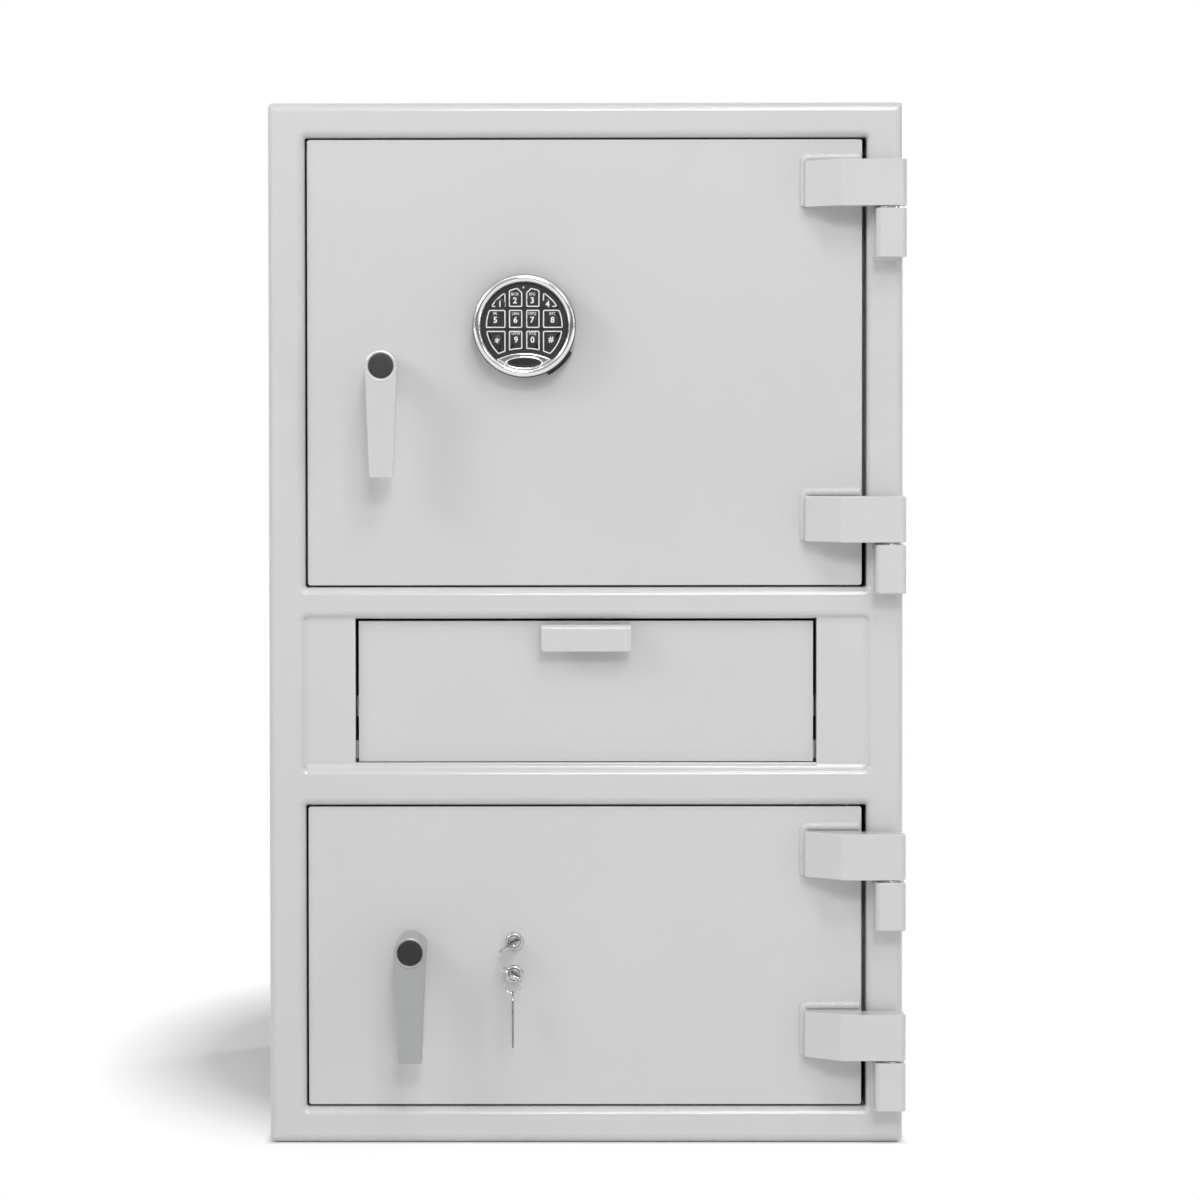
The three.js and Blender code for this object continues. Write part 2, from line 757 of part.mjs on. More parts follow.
function makeBezel() {
  const rear = padBaseFront - seat;
  const crestRadius = (keypadRadius + keypadInnerRadius) / 2;
  const edge = keypadRadius - crestRadius;
  const ring = turnedY([
    [keypadInnerRadius, padCrest + bezelLip],
    [crestRadius - bezelFlat, padCrest],
    [crestRadius + bezelFlat, padCrest],
    [keypadRadius - bezelRoundShare * edge, padCrest + bezelRoundShare * bezelShoulder],
    [keypadRadius, padCrest + bezelShoulder],
    [keypadRadius, rear],
    [keypadInnerRadius, rear],
  ], padX, padZ, 64);
  const lobeFront = padFaceFront - seat - lobeThickness;
  const depth = [lobeFront, padFaceFront - seat];
  const lobeDisc = rodY(padX, padZ + lobeTop - lobeRadius, lobeRadius, depth, 96);
  const lobe = common(lobeDisc, rodY(padX, padZ, keypadInnerRadius + 1, depth, 64));
  const badgeZ = padZ - badgeDrop;
  const badgeFront = lobeFront - badgeProud;
  const badgeShape = ellipseShape(padX, badgeZ, badgeHalfLength, badgeHalfHeight);
  const badge = prismY(badgeShape, [badgeFront, lobeFront + 1], 10);
  const dishShape = ellipseShape(padX, badgeZ, badgeHalfLength - badgeRim, badgeHalfHeight - badgeRim);
  const dish = prismY(dishShape, [badgeFront - 1, badgeFront + badgeDishDepth], 10);
  return cut(join(ring, lobe, badge), dish);
}

// A key's outline as a solid: a cell of the key field, trimmed by the field's circle, clear of the lobe
// and the lamp
function makeKeySolid([x0, x1], [z0, z1], grow, depth) {
  const cell = block([padX + x0 - grow, padX + x1 + grow], depth, [padZ + z0 - grow, padZ + z1 + grow]);
  const field = rodY(padX, padZ, keyFieldRadius + grow, depth, 72);
  const past = [depth[0] - 1, depth[1] + 1];
  const lobeRoom = rodY(padX, padZ + lobeTop - lobeRadius, lobeRadius + lobeMargin - grow, past, 96);
  const lampRoom = rodY(padX, padZ + lampHeight, lampNotch - grow * Math.SQRT2, past, 4);
  return cut(common(cell, field), lobeRoom, lampRoom);
}

const keyNames = [['1', '2', '3', '4'], ['5', '6', '7', '8'], ['star', '9', '0', 'hash']];
const keyColumns = [
  [-keypadInnerRadius, -keyOuterColumnStart],
  [-keyColumnPitch / 2 - keyColumnWidth / 2, -keyColumnPitch / 2 + keyColumnWidth / 2],
  [keyColumnPitch / 2 - keyColumnWidth / 2, keyColumnPitch / 2 + keyColumnWidth / 2],
  [keyOuterColumnStart, keypadInnerRadius],
];
const keyRows = [1, 0, -1].map((row) => {
  const middle = keyRowMiddle + row * keyRowPitch;
  const open = row === 0 ? 0 : keypadInnerRadius - keyRowHeight; // the end rows run out to the field's edge
  return [middle - keyRowHeight / 2 - (row < 0 ? open : 0), middle + keyRowHeight / 2 + (row > 0 ? open : 0)];
});

const pocketFloor = padFaceFront + keyPocketDepth;
const keyDepth = [padFaceFront - keyProud, pocketFloor - keyGap];
const pockets = [];
keyNames.forEach((names, row) => names.forEach((name, column) => {
  const cell = [keyColumns[column], keyRows[row]];
  pockets.push(makeKeySolid(...cell, keyPocketClearance, [padFaceFront - 1, pocketFloor]));
  add(`key_${name}`, makeKeySolid(...cell, 0, keyDepth), black);
}));

const faceDisc = rodY(padX, padZ, keypadInnerRadius - seat, [padFaceFront, padBaseFront - seat], 64);
add('keypad_base', makeKeypadBase(), black);
add('keypad_bezel', makeBezel(), chrome);
add('keypad_face', cut(faceDisc, ...pockets), black);

// Key locks: two noses in the lower door, a plug in each, a key in each plug, and a spare on the ring.
// A key drawn flat: u across the blade, v along it from the shoulder to the bow
function keyShape(bladeLength, shift, holeSide) {
  const shape = new THREE.Shape();
  const half = keyBladeWidth / 2;
  const centre = keyShoulder + bowRadius;
  const bowAngle = (u) => -Math.acos((u - shift) / bowRadius); // where the bow's edge passes above u
  shape.moveTo(-half, keyBladeTip - bladeLength);
  shape.lineTo(-half + keyBladeTip, -bladeLength);
  shape.lineTo(half - keyBladeTip, -bladeLength);
  shape.lineTo(half, keyBladeTip - bladeLength);
  shape.absarc(shift, centre, bowRadius, bowAngle(half), bowAngle(-half) + 2 * Math.PI);
  const hole = new THREE.Path();
  hole.absarc(shift + holeSide, centre + bowHoleOffset, bowHoleRadius, 0, 2 * Math.PI);
  shape.holes.push(hole);
  return { shape, hole: { u: shift + holeSide, v: centre + bowHoleOffset } };
}

// A key in a lock stands out along -Y, its flat turned about the lock's axis
function keyBasis(degrees) {
  const turn = THREE.MathUtils.degToRad(degrees);
  const across = new THREE.Vector3(Math.cos(turn), 0, Math.sin(turn));
  const out = new THREE.Vector3(0, -1, 0);
  return { across, out, normal: across.clone().cross(out) };
}

function makeLockKey({ x, z }, degrees, bowShift) {
  const { shape } = keyShape(keyBladeInPlug, -bowShift, bowHoleSide);
  const { across, out, normal } = keyBasis(degrees);
  return extrude(shape, -keyThickness / 2, keyThickness / 2, across, out, normal, 10).translate(x, plugFront, z);
}

function makePlug({ x, z }, degrees) {
  const body = rodY(x, z, plugRadius, [plugFront, plugBack], 28);
  const half = keyBladeWidth / 2 + plugClearance;
  const slotEnd = -keyBladeInPlug - plugClearance;
  const slotShape = [[-half, slotEnd], [half, slotEnd], [half, 2], [-half, 2]];
  const { across, out, normal } = keyBasis(degrees);
  const thick = keyThickness / 2 + plugClearance;
  return cut(body, extrude(slotShape, -thick, thick, across, out, normal, 4).translate(x, plugFront, z));
}

// The ring passes through the lower key's bow, and the spare key hangs on the ring
function ringPlace() {
  const { hole } = keyShape(keyBladeInPlug, -lowerBowShift, bowHoleSide);
  const { across, out } = keyBasis(lowerKeyDegrees);
  const at = new THREE.Vector3(noses[1].x, plugFront, noses[1].z).addScaledVector(across, hole.u);
  return at.addScaledVector(out, hole.v);
}

function makeSpareKey(ringTop) {
  const { shape, hole } = keyShape(spareBladeLength, 0, 0);
  const wireZ = ringTop.z - 2 * ringRadius;
  const holeZ = wireZ + ringWireRadius + seat - bowHoleRadius;
  const spare = extrude(shape, -keyThickness / 2, keyThickness / 2, axisY, axisZ, axisX, 10);
  return spare.translate(ringTop.x, ringTop.y, holeZ - hole.v);
}

const ringTop = ringPlace();
const ring = new THREE.TorusGeometry(ringRadius, ringWireRadius, 8, 32).rotateX(Math.PI / 2)
  .translate(ringTop.x, ringTop.y, ringTop.z - ringRadius);

add('upper_plug', makePlug(noses[0], upperKeyDegrees), chrome);
add('lower_plug', makePlug(noses[1], lowerKeyDegrees), chrome);
add('upper_key', makeLockKey(noses[0], upperKeyDegrees, upperBowShift), chrome);
add('lower_key', makeLockKey(noses[1], lowerKeyDegrees, lowerBowShift), chrome);
add('key_ring', join(ring), chrome);
add('spare_key', join(makeSpareKey(ringTop)), chrome);

// Drawer bay: a roof plate, and below it the housing, whose front flanges fill the frame's opening
// beside the drawer
const fillerHalf = openingHalf - fillerWidth;
const fillerFront = frontY + fillerRecess;
const fillerBack = fillerFront + fillerThickness;
const roofLow = drawerOpening.high + roofClearance;
const housingBack = frameBackY + housingDepth;
const housingLow = drawerOpening.low - housingDrop;

function makeHousing() {
  const behind = frameBackY + seat;
  const slopeEnd = housingBack - housingFlat;
  const side = [
    [fillerFront + 1, drawerOpening.low + seat],
    [behind, drawerOpening.low + seat],
    [behind, drawerOpening.low - housingSlopeStart],
    [slopeEnd, housingLow],
    [housingBack, housingLow],
    [housingBack, roofLow - seat],
    [behind, roofLow - seat],
    [behind, drawerOpening.high - seat],
    [fillerFront + 1, drawerOpening.high - seat],
  ];
  const outer = fillerHalf + housingWall;
  const ramp = rampOutline();
  const fillerY = [fillerFront, fillerBack];
  const fillerZ = [drawerOpening.low + seat, drawerOpening.high - seat];
  const openingShape = roundedRectangle(-openingHalf + seat, openingHalf - seat, ...fillerZ, openingCornerRadius);
  const fillers = cut(prismY(openingShape, fillerY, 3), block([-fillerHalf, fillerHalf], [frontY, behind], fillerZ));
  const sillZ = [drawerOpening.low + seat, drawerOpening.low + sillHeight];
  const ramps = join(prismX(ramp, [-fillerHalf - 1, -rampInner]), prismX(ramp, [rampInner, fillerHalf + 1]));
  const overRail = block([-outer, outer], [frontY, behind], [housingLow, drawerOpening.low + seat]);
  return join(
    prismX(side, [-outer, -fillerHalf]),
    prismX(side, [fillerHalf, outer]),
    block([-outer, outer], [housingBack - housingWall, housingBack], [housingLow, roofLow - seat]),
    fillers,
    block([-fillerHalf - 1, fillerHalf + 1], [fillerFront, fillerFront + sillDepth], sillZ),
    cut(ramps, overRail),
  );
}

add('bay_roof', block(
  [-innerHalf + seat, innerHalf - seat],
  [shellFront, backY - wall - seat],
  [roofLow, roofLow + roofThickness],
), innerPaint);

// Drawer: front, tray with an open bottom, runners, and the tipping floor
const drawerHalf = fillerHalf - drawerGapSide;
const drawerFrontY = frontY + drawerRecess;
const drawerBackY = drawerFrontY + drawerFrontThickness;
const drawerLow = drawerOpening.low + sillHeight + drawerGapBottom;
const drawerHigh = drawerOpening.high - drawerGapTop;
const trayHalf = fillerHalf - traySideGap;
const trayFront = drawerBackY + seat;
const pivotY = drawerBackY + floorPivotBack;
const pivotZ = drawerOpening.low + floorPivotHeight;
const trayLow = pivotZ + trayOverFloor;
const runnerLow = trayLow + runnerOverTray;

function makeTray() {
  const trayBack = trayFront + trayLength;
  const tail = trayBack + trayTailLength;
  const side = [
    [trayFront, pivotZ - earDrop],
    [trayFront + earLength, pivotZ - earDrop],
    [trayFront + earLength, trayLow],
    [tail, trayLow],
    [tail, trayLow + trayTailHeight],
    [trayBack, trayLow + trayTailHeight],
    [trayBack, trayLow + trayHeight],
    [trayFront, trayLow + trayHeight],
  ];
  const inner = trayHalf - traySheet;
  const backWall = block([-trayHalf, trayHalf], [trayBack - traySheet, trayBack], [trayLow, trayLow + trayHeight]);
  const tray = join(prismX(side, [-trayHalf, -inner]), prismX(side, [inner, trayHalf]), backWall);
  const rodHole = rodX(pivotY, pivotZ, floorRodDiameter / 2 + floorRodClearance, [-trayHalf - 1, trayHalf + 1], 16);
  return cut(tray, rodHole);
}

// Floor, drawn level and then tipped to its place in the closed drawer
const floorHalf = trayHalf - traySheet - floorSideGap;
const tilt = THREE.MathUtils.degToRad(floorTilt);
const rampInner = trayHalf + rampGap;

function makeDropFloor() {
  const sheetTop = floorSheet / 2;
  const plate = block([-floorHalf, floorHalf], [0, floorLength], [-sheetTop, sheetTop]);
  const barrel = rodX(0, 0, floorBarrelRadius, [-floorHalf, floorHalf], 20);
  const pivotRod = rodX(0, 0, floorRodDiameter / 2, [-trayHalf, trayHalf], 16);
  const pins = rodX(floorLength, 0, guidePinRadius, [-fillerHalf + guidePinEndGap, fillerHalf - guidePinEndGap], 16);
  return join(plate, barrel, pivotRod, pins).rotateX(-tilt).translate(0, pivotY, pivotZ);
}

// Where the guide pin's centre is when the drawer has moved out by some share of its travel
function guidePinAt(share) {
  const angle = tilt * (1 - share);
  const y = pivotY - share * drawerTravel + floorLength * Math.cos(angle);
  return [y, pivotZ - floorLength * Math.sin(angle)];
}

// The ramp that a guide pin slides on: straight below the pin's path
function rampOutline() {
  const drop = (guidePinRadius + guidePinGap) / Math.cos(tilt);
  const shares = Array.from({ length: rampSteps + 1 }, (_, i) => i / rampSteps);
  const top = [-rampRunOn, ...shares].map(guidePinAt).map(([y, z]) => [y, z - drop]);
  const bottom = top.map(([y, z]) => [y, z - rampDepth]).reverse();
  return [...top, ...bottom];
}

function mirrored(geometry) {
  const copy = geometry.clone().applyMatrix4(new THREE.Matrix4().makeScale(-1, 1, 1));
  const index = copy.index.array;
  for (let i = 0; i < index.length; i += 3) [index[i], index[i + 1]] = [index[i + 1], index[i]];
  return copy;
}

function makeFixedRunner() {
  const outer = fillerHalf - seat;
  const depth = [drawerBackY + runnerFrontGap, housingBack - housingWall - runnerEndGap];
  const channel = block([outer - runnerDepth, outer], depth, [runnerLow, runnerLow + runnerHeight]);
  const groove = block(
    [outer - runnerDepth - 1, outer - runnerSheet],
    [depth[0] - 1, depth[1] + 1],
    [runnerLow + runnerSheet, runnerLow + runnerHeight - runnerSheet],
  );
  return cut(channel, groove);
}

function makeMovingRunner() {
  const outer = fillerHalf - seat - runnerSheet - runnerClearance;
  const inset = runnerSheet + runnerClearance;
  const end = trayFront + trayLength + trayTailLength;
  const heights = [runnerLow + inset, runnerLow + runnerHeight - inset];
  return join(block([trayHalf + seat, outer], [trayFront + runnerFrontGap, end], heights));
}

function makePull() {
  const top = drawerHigh - pullDrop;
  const lipFront = drawerFrontY - pullReach;
  const bend = pullSheet;
  const profile = [
    [drawerFrontY - seat, top],
    [lipFront + bend, top],
    [lipFront, top - bend],
    [lipFront, top - pullHeight],
    [lipFront + pullSheet, top - pullHeight],
    [lipFront + pullSheet, top - pullSheet],
    [drawerFrontY - seat, top - pullSheet],
  ];
  const whole = prismX(profile, [-pullWidth / 2, pullWidth / 2]);
  const face = roundedRectangle(
    -pullWidth / 2,
    pullWidth / 2,
    top - pullHeight,
    top + 2 * pullCornerRadius,
    pullCornerRadius,
  );
  return common(whole, prismY(face, [lipFront - 1, drawerFrontY], 4));
}

add('drawer_front', block([-drawerHalf, drawerHalf], [drawerFrontY, drawerBackY], [drawerLow, drawerHigh]), paint);
add('drawer_pull', makePull(), paint);
add('drawer_tray', makeTray(), innerPaint);
add('drop_floor', makeDropFloor(), innerPaint);
add('drawer_housing', makeHousing(), paint);
add('fixed_runner_right', makeFixedRunner(), zinc);
add('fixed_runner_left', mirrored(makeFixedRunner()), zinc);
add('moving_runner_right', makeMovingRunner(), zinc);
add('moving_runner_left', mirrored(makeMovingRunner()), zinc);

export default safe;
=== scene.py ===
import math

import bmesh
import bpy
from mathutils import Matrix, Vector
from mathutils.geometry import tessellate_polygon


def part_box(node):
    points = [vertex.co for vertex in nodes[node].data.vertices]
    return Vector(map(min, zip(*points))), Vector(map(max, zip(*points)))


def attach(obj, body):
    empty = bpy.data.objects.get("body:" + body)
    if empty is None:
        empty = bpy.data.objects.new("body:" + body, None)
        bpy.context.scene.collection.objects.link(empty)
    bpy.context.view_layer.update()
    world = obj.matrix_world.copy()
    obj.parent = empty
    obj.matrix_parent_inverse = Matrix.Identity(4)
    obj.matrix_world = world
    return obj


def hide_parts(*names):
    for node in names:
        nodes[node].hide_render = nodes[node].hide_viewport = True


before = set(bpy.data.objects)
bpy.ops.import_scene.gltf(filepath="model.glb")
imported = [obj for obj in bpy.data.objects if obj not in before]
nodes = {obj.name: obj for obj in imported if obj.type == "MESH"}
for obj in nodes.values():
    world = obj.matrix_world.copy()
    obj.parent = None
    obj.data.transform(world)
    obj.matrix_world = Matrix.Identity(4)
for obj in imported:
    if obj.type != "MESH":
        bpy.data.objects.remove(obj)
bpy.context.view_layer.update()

MM = 0.001

# ---- Sizes, in millimetres, as the solids have them ----
BODY_WIDTH, BODY_HEIGHT = 518, 850
FRAME_FRONT, FRAME_BACK = -250, -220
FRAME_ROUND = 7.5
OPENING_HALF = 229
OPENINGS = ((29, 276.8), (308, 429.3), (455, 821.5))  # each one's low and high edge, from the floor up
FILLER_FRONT, FILLER_HALF = -245, 188.5
DOOR_FRONT, DOOR_BACK = -244, -236
DOOR_EDGE = 225.4
LEAF_LEFT, BLOCK_LEFT = 178.2, 234.5
HINGE_GAP = 2
HANDLES = {"upper": (-165.5, 635.3), "lower": (-143, 160.8)}
HANDLE_HOLE = 6
NOSES = {"upper": (-58.8, 164.5), "lower": (-58.8, 137.7)}
NOSE_HOLE = 6.6
PAD_X, PAD_Z = -50, 668


# ---- Nodes ----
def give(tree, socket, value):
    """Sets a socket to a value, or links it to another node's output."""
    if isinstance(value, bpy.types.NodeSocket):
        tree.links.new(value, socket)
    else:
        socket.default_value = value


def add_node(tree, kind, inputs=None, **settings):
    """A node with its settings, and then its inputs by name or number."""
    node = tree.nodes.new(kind)
    for label, value in settings.items():
        setattr(node, label, value)
    for label, value in (inputs or {}).items():
        give(tree, node.inputs[label], value)
    return node


def calculate(tree, operation, a, b=0):
    """One sum on numbers or other nodes' outputs."""
    return add_node(tree, "ShaderNodeMath", {0: a, 1: b}, operation=operation).outputs[0]


def spread(tree, value, low, high, start=0.3, end=0.7):
    """The value from start to end, spread over low to high."""
    span = {"From Min": start, "From Max": end, "To Min": low, "To Max": high, "Value": value}
    return add_node(tree, "ShaderNodeMapRange", span).outputs["Result"]


def noise(tree, place, scale, detail=2.0, roughness=0.5, stretch=None):
    """A cloudy pattern, drawn out along an axis where its stretch is below 1."""
    if stretch:
        place = add_node(tree, "ShaderNodeMapping", {"Scale": stretch, "Vector": place}).outputs["Vector"]
    grain = {"Scale": scale, "Detail": detail, "Roughness": roughness, "Vector": place}
    return add_node(tree, "ShaderNodeTexNoise", grain).outputs["Fac"]


# ---- Materials ----
def new_finish(name, color, roughness, metallic=0.0):
    """A material with its main values set, and the nodes that its maker adds to."""
    finish = bpy.data.materials.new(name)
    finish.use_nodes = True
    tree = finish.node_tree
    shader = tree.nodes["Principled BSDF"]
    shader.inputs["Base Color"].default_value = (*color, 1)
    shader.inputs["Roughness"].default_value = roughness
    shader.inputs["Metallic"].default_value = metallic
    return finish, tree, shader, add_node(tree, "ShaderNodeTexCoord").outputs["Object"]


def tint(tree, shader, value, dark, light):
    """Colours a surface from dark to light, as the value runs from 0 to 1."""
    colors = {"A": (*dark, 1), "B": (*light, 1), "Factor": value}
    mix = add_node(tree, "ShaderNodeMix", colors, data_type="RGBA")
    give(tree, shader.inputs["Base Color"], mix.outputs["Result"])


def vary_roughness(tree, shader, value, low, high):
    """Roughness from low to high, over the middle of the value's range."""
    give(tree, shader.inputs["Roughness"], spread(tree, value, low, high))


def bump(tree, shader, height, depth, strength):
    """A relief on the surface, with its depth in millimetres."""
    relief = add_node(tree, "ShaderNodeBump", {"Distance": depth * MM, "Strength": strength, "Height": height})
    give(tree, shader.inputs["Normal"], relief.outputs["Normal"])


def powder_coat(name, color, roughness=0.37, metallic=0.0, grain=620, depth=0.08):
    """Baked paint: faint patches, a fine peel, and a gloss over it that catches light on the edges."""
    finish, tree, shader, place = new_finish(name, color, roughness, metallic)
    patches = spread(tree, noise(tree, place, 9, 3), 0, 1)
    tint(tree, shader, patches, [c * 0.985 for c in color], [min(1, c * 1.01) for c in color])
    peel = noise(tree, place, grain, 2, 0.6)
    vary_roughness(tree, shader, peel, roughness - 0.04, roughness + 0.05)
    bump(tree, shader, peel, depth, 0.6)
    shader.inputs["Specular IOR Level"].default_value = 0.45
    shader.inputs["Coat Weight"].default_value = 0.7
    shader.inputs["Coat Roughness"].default_value = 0.13
    return finish


def metal(name, color, roughness, wobble, stretch=None, scale=300, depth=0.01):
    """Plated or bare metal, with fine streaks that turn its shine a little."""
    finish, tree, shader, place = new_finish(name, color, roughness, 1.0)
    streaks = noise(tree, place, scale, 3, 0.6, stretch)
    vary_roughness(tree, shader, streaks, roughness - wobble, roughness + wobble)
    tint(tree, shader, streaks, [c * 0.94 for c in color], color)
    bump(tree, shader, streaks, depth, 0.4)
    return finish


def moulded_plastic(name, color, roughness, grain=1500, depth=0.02):
    """Plastic or rubber with the fine grain of its mould."""
    finish, tree, shader, place = new_finish(name, color, roughness)
    fine = noise(tree, place, grain, 2)
    vary_roughness(tree, shader, fine, roughness - 0.05, roughness + 0.05)
    tint(tree, shader, noise(tree, place, 60), [c * 0.85 for c in color], [c * 1.1 for c in color])
    bump(tree, shader, fine, depth, 0.5)
    return finish


frame_paint = powder_coat("frame_powder_coat", (0.63, 0.63, 0.635))
inner_paint = powder_coat("inner_powder_coat", (0.56, 0.56, 0.57), roughness=0.5)
# The levers share one silver paint in two copies: the upper lever's is lighter, as painted light, and the lower
# lever's is darker, as painted shade.
lit_and_shaded_lever_paints = {
    "upper": powder_coat("upper_lever_silver_lit", (0.74, 0.745, 0.75), 0.33, 0.65, grain=1300, depth=0.03),
    "lower": powder_coat("lower_lever_silver_painted_shade", (0.4, 0.405, 0.41), 0.35, 0.6, grain=1300, depth=0.03),
}
bright_plate = metal("bright_plating", (0.82, 0.82, 0.83), 0.12, 0.03, scale=90, depth=0.004)
satin_plate = metal("satin_plating", (0.6, 0.6, 0.61), 0.24, 0.05, scale=200, depth=0.006)
zinc_plate = metal("zinc_plating", (0.62, 0.63, 0.64), 0.36, 0.08, (1, 1, 0.2), 240)
turned_steel = metal("turned_steel", (0.72, 0.72, 0.72), 0.22, 0.06, (0.2, 1, 1), 900)
key_metal = metal("key_plating", (0.56, 0.555, 0.545), 0.2, 0.05, scale=400)
# A darker copy of the key plating, for the spare key that hangs on the ring.
darker_key_metal = metal("darker_key_plating", (0.3, 0.3, 0.295), 0.3, 0.08, scale=400)
ring_wire = metal("ring_wire", (0.66, 0.66, 0.66), 0.2, 0.04)
pad_plastic = moulded_plastic("pad_plastic", (0.022, 0.023, 0.025), 0.42)
button_rubber = moulded_plastic("button_rubber", (0.017, 0.018, 0.02), 0.34, 2200)
# The caps share one black plastic in two copies: the lower cap's is darker, as painted shade, and the upper
# cap's is lighter, as painted light.
lit_and_shaded_cap_plastics = {
    "upper": moulded_plastic("upper_cap_plastic_lit", (0.03, 0.03, 0.032), 0.5, 900, 0.03),
    "lower": moulded_plastic("lower_cap_plastic_painted_shade", (0.012, 0.012, 0.013), 0.55, 900, 0.03),
}
print_white = moulded_plastic("print_white", (0.8, 0.8, 0.8), 0.5, 2500, 0.004)
badge_gloss = moulded_plastic("badge_gloss", (0.03, 0.031, 0.034), 0.12, 200, 0.002)
lamp_lens = moulded_plastic("lamp_lens", (0.7, 0.7, 0.72), 0.15, 300, 0.002)


# ---- Objects and their edges ----
def new_object(name, data):
    """An object in the scene that shows the data."""
    obj = bpy.data.objects.new(name, data)
    bpy.context.scene.collection.objects.link(obj)
    return obj


def plain_object(name, builder, *finishes):
    """An object from a bmesh that is in metres."""
    data = bpy.data.meshes.new(name)
    builder.to_mesh(data)
    builder.free()
    for finish in finishes:
        data.materials.append(finish)
    return new_object(name, data)


def to_object(name, builder, *finishes):
    """An object from a bmesh that is in millimetres."""
    bmesh.ops.scale(builder, vec=(MM, MM, MM), verts=builder.verts)
    return plain_object(name, builder, *finishes)


def smooth(obj, corner):
    """Smooth shading, apart from edges sharper than the corner's angle."""
    obj.data.polygons.foreach_set("use_smooth", [True] * len(obj.data.polygons))
    obj.data.set_sharp_from_angle(angle=math.radians(corner))
    even = obj.modifiers.new("even_normals", "WEIGHTED_NORMAL")
    even.keep_sharp = True
    even.weight = 100


def finish_piece(obj, body, slot, *replaced, corner=35):
    """Smooths a piece up to its corners, and fixes it to its body."""
    smooth(obj, corner)
    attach(obj, body)
    if replaced:
        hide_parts(*replaced)


def evaluated_mesh(obj):
    """The object's shape as a mesh, with its modifiers applied."""
    view = bpy.context.evaluated_depsgraph_get()
    return bpy.data.meshes.new_from_object(obj.evaluated_get(view))


def apply_modifiers(obj):
    """Makes the modifiers' result the object's own mesh."""
    data = evaluated_mesh(obj)
    obj.modifiers.clear()
    obj.data = data


def soften(obj, width, segments=3, angle=30):
    """Rounds the edges that are sharper than the angle."""
    edge = obj.modifiers.new("soft_edge", "BEVEL")
    edge.width = width * MM
    edge.segments = segments
    edge.limit_method = "ANGLE"
    edge.angle_limit = math.radians(angle)
    edge.use_clamp_overlap = True
    apply_modifiers(obj)


def chamfer(obj, width):
    """A flat chamfer with its own corners eased."""
    soften(obj, width, 1)
    soften(obj, 0.15, 2, 25)


def solid_copy(node):
    """A merged copy of a solid's mesh, with its flat faces joined up."""
    copy = bmesh.new()
    copy.from_mesh(nodes[node].data)
    bmesh.ops.remove_doubles(copy, verts=copy.verts, dist=1e-6)
    bmesh.ops.dissolve_limit(copy, angle_limit=math.radians(0.6), verts=copy.verts, edges=copy.edges)
    return copy


def dressed(node, name, body, slot, finish, width, segments=3, corner=35, pick=None):
    """A piece that stands for a solid, with soft edges, or flat chamfers where segments is 1.
    pick gives a face its material from its middle."""
    obj = plain_object(name, solid_copy(node), *(finish if isinstance(finish, tuple) else (finish,)))
    old_normals = obj.data.attributes.get("custom_normal")
    if old_normals:
        obj.data.attributes.remove(old_normals)
    for face in obj.data.polygons:
        face.material_index = pick(face.center / MM) if pick else 0
    if width and segments == 1:
        chamfer(obj, width)
    elif width:
        soften(obj, width, segments)
    finish_piece(obj, body, slot, node, corner=corner)


# ---- Outlines, as lists of [x, z] points ----
def arc(x, z, radius, start, end, steps):
    """Points on a circle, with angles in degrees."""
    angles = [math.radians(start + (end - start) * i / steps) for i in range(steps + 1)]
    return [(x + radius * math.cos(a), z + radius * math.sin(a)) for a in angles]


def rounded_rectangle(left, right, low, high, radius):
    """A counter-clockwise outline with round corners."""
    steps = 6
    return (
        arc(right - radius, low + radius, radius, -90, 0, steps)
        + arc(right - radius, high - radius, radius, 0, 90, steps)
        + arc(left + radius, high - radius, radius, 90, 180, steps)
        + arc(left + radius, low + radius, radius, 180, 270, steps)
    )


def corner_curve(before, corner, after, steps=5):
    """A smooth curve in a corner, between two points on its sides."""
    shares = [k / steps for k in range(steps + 1)]
    return [tuple(before * (1 - t) ** 2 + corner * 2 * t * (1 - t) + after * t**2) for t in shares]


def front_outline(node):
    """The edge of a solid's front face, counter-clockwise."""
    copy = solid_copy(node)
    face = min(copy.faces, key=lambda f: (round(f.calc_center_median().y / MM, 2), -f.calc_area()))
    outline = [(v.co.x / MM, v.co.z / MM) for v in face.verts]
    copy.free()
    area = sum(a[0] * b[1] - b[0] * a[1] for a, b in zip(outline, outline[1:] + outline[:1]))
    return outline if area > 0 else outline[::-1]


def without_near_points(points, least=0.25):
    """Leaves out each point that is closer than least to the one before it."""
    kept = [points[0]]
    for point in points[1:]:
        if math.dist(point, kept[-1]) > least:
            kept.append(point)
    return kept[:-1] if math.dist(kept[-1], kept[0]) < least else kept


def round_corners(points, radius, sharpest=20):
    """Rounds each corner that turns by more than sharpest degrees."""
    rounded = []
    for i, here in enumerate(points):
        here = Vector(here)
        way_in, way_out = here - Vector(points[i - 1]), Vector(points[(i + 1) % len(points)]) - here
        turn = way_in.angle_signed(way_out) if way_in.length and way_out.length else 0
        if abs(turn) < math.radians(sharpest):
            rounded.append(tuple(here))
            continue
        reach = min(radius * math.tan(abs(turn) / 2), 0.45 * way_in.length, 0.45 * way_out.length)
        before, after = here - way_in.normalized() * reach, here + way_out.normalized() * reach
        rounded += corner_curve(before, here, after)
    return rounded


def inset_outline(points, distance):
    """Moves each side of a counter-clockwise outline inwards."""
    moved = []
    for i, here in enumerate(points):
        here = Vector(here)
        sides = (here - Vector(points[i - 1]), Vector(points[(i + 1) % len(points)]) - here)
        normals = [Vector((-side.y, side.x)).normalized() for side in sides]
        middle = (normals[0] + normals[1]).normalized()
        moved.append(tuple(here + middle * distance / max(middle.dot(normals[0]), 0.35)))
    return moved


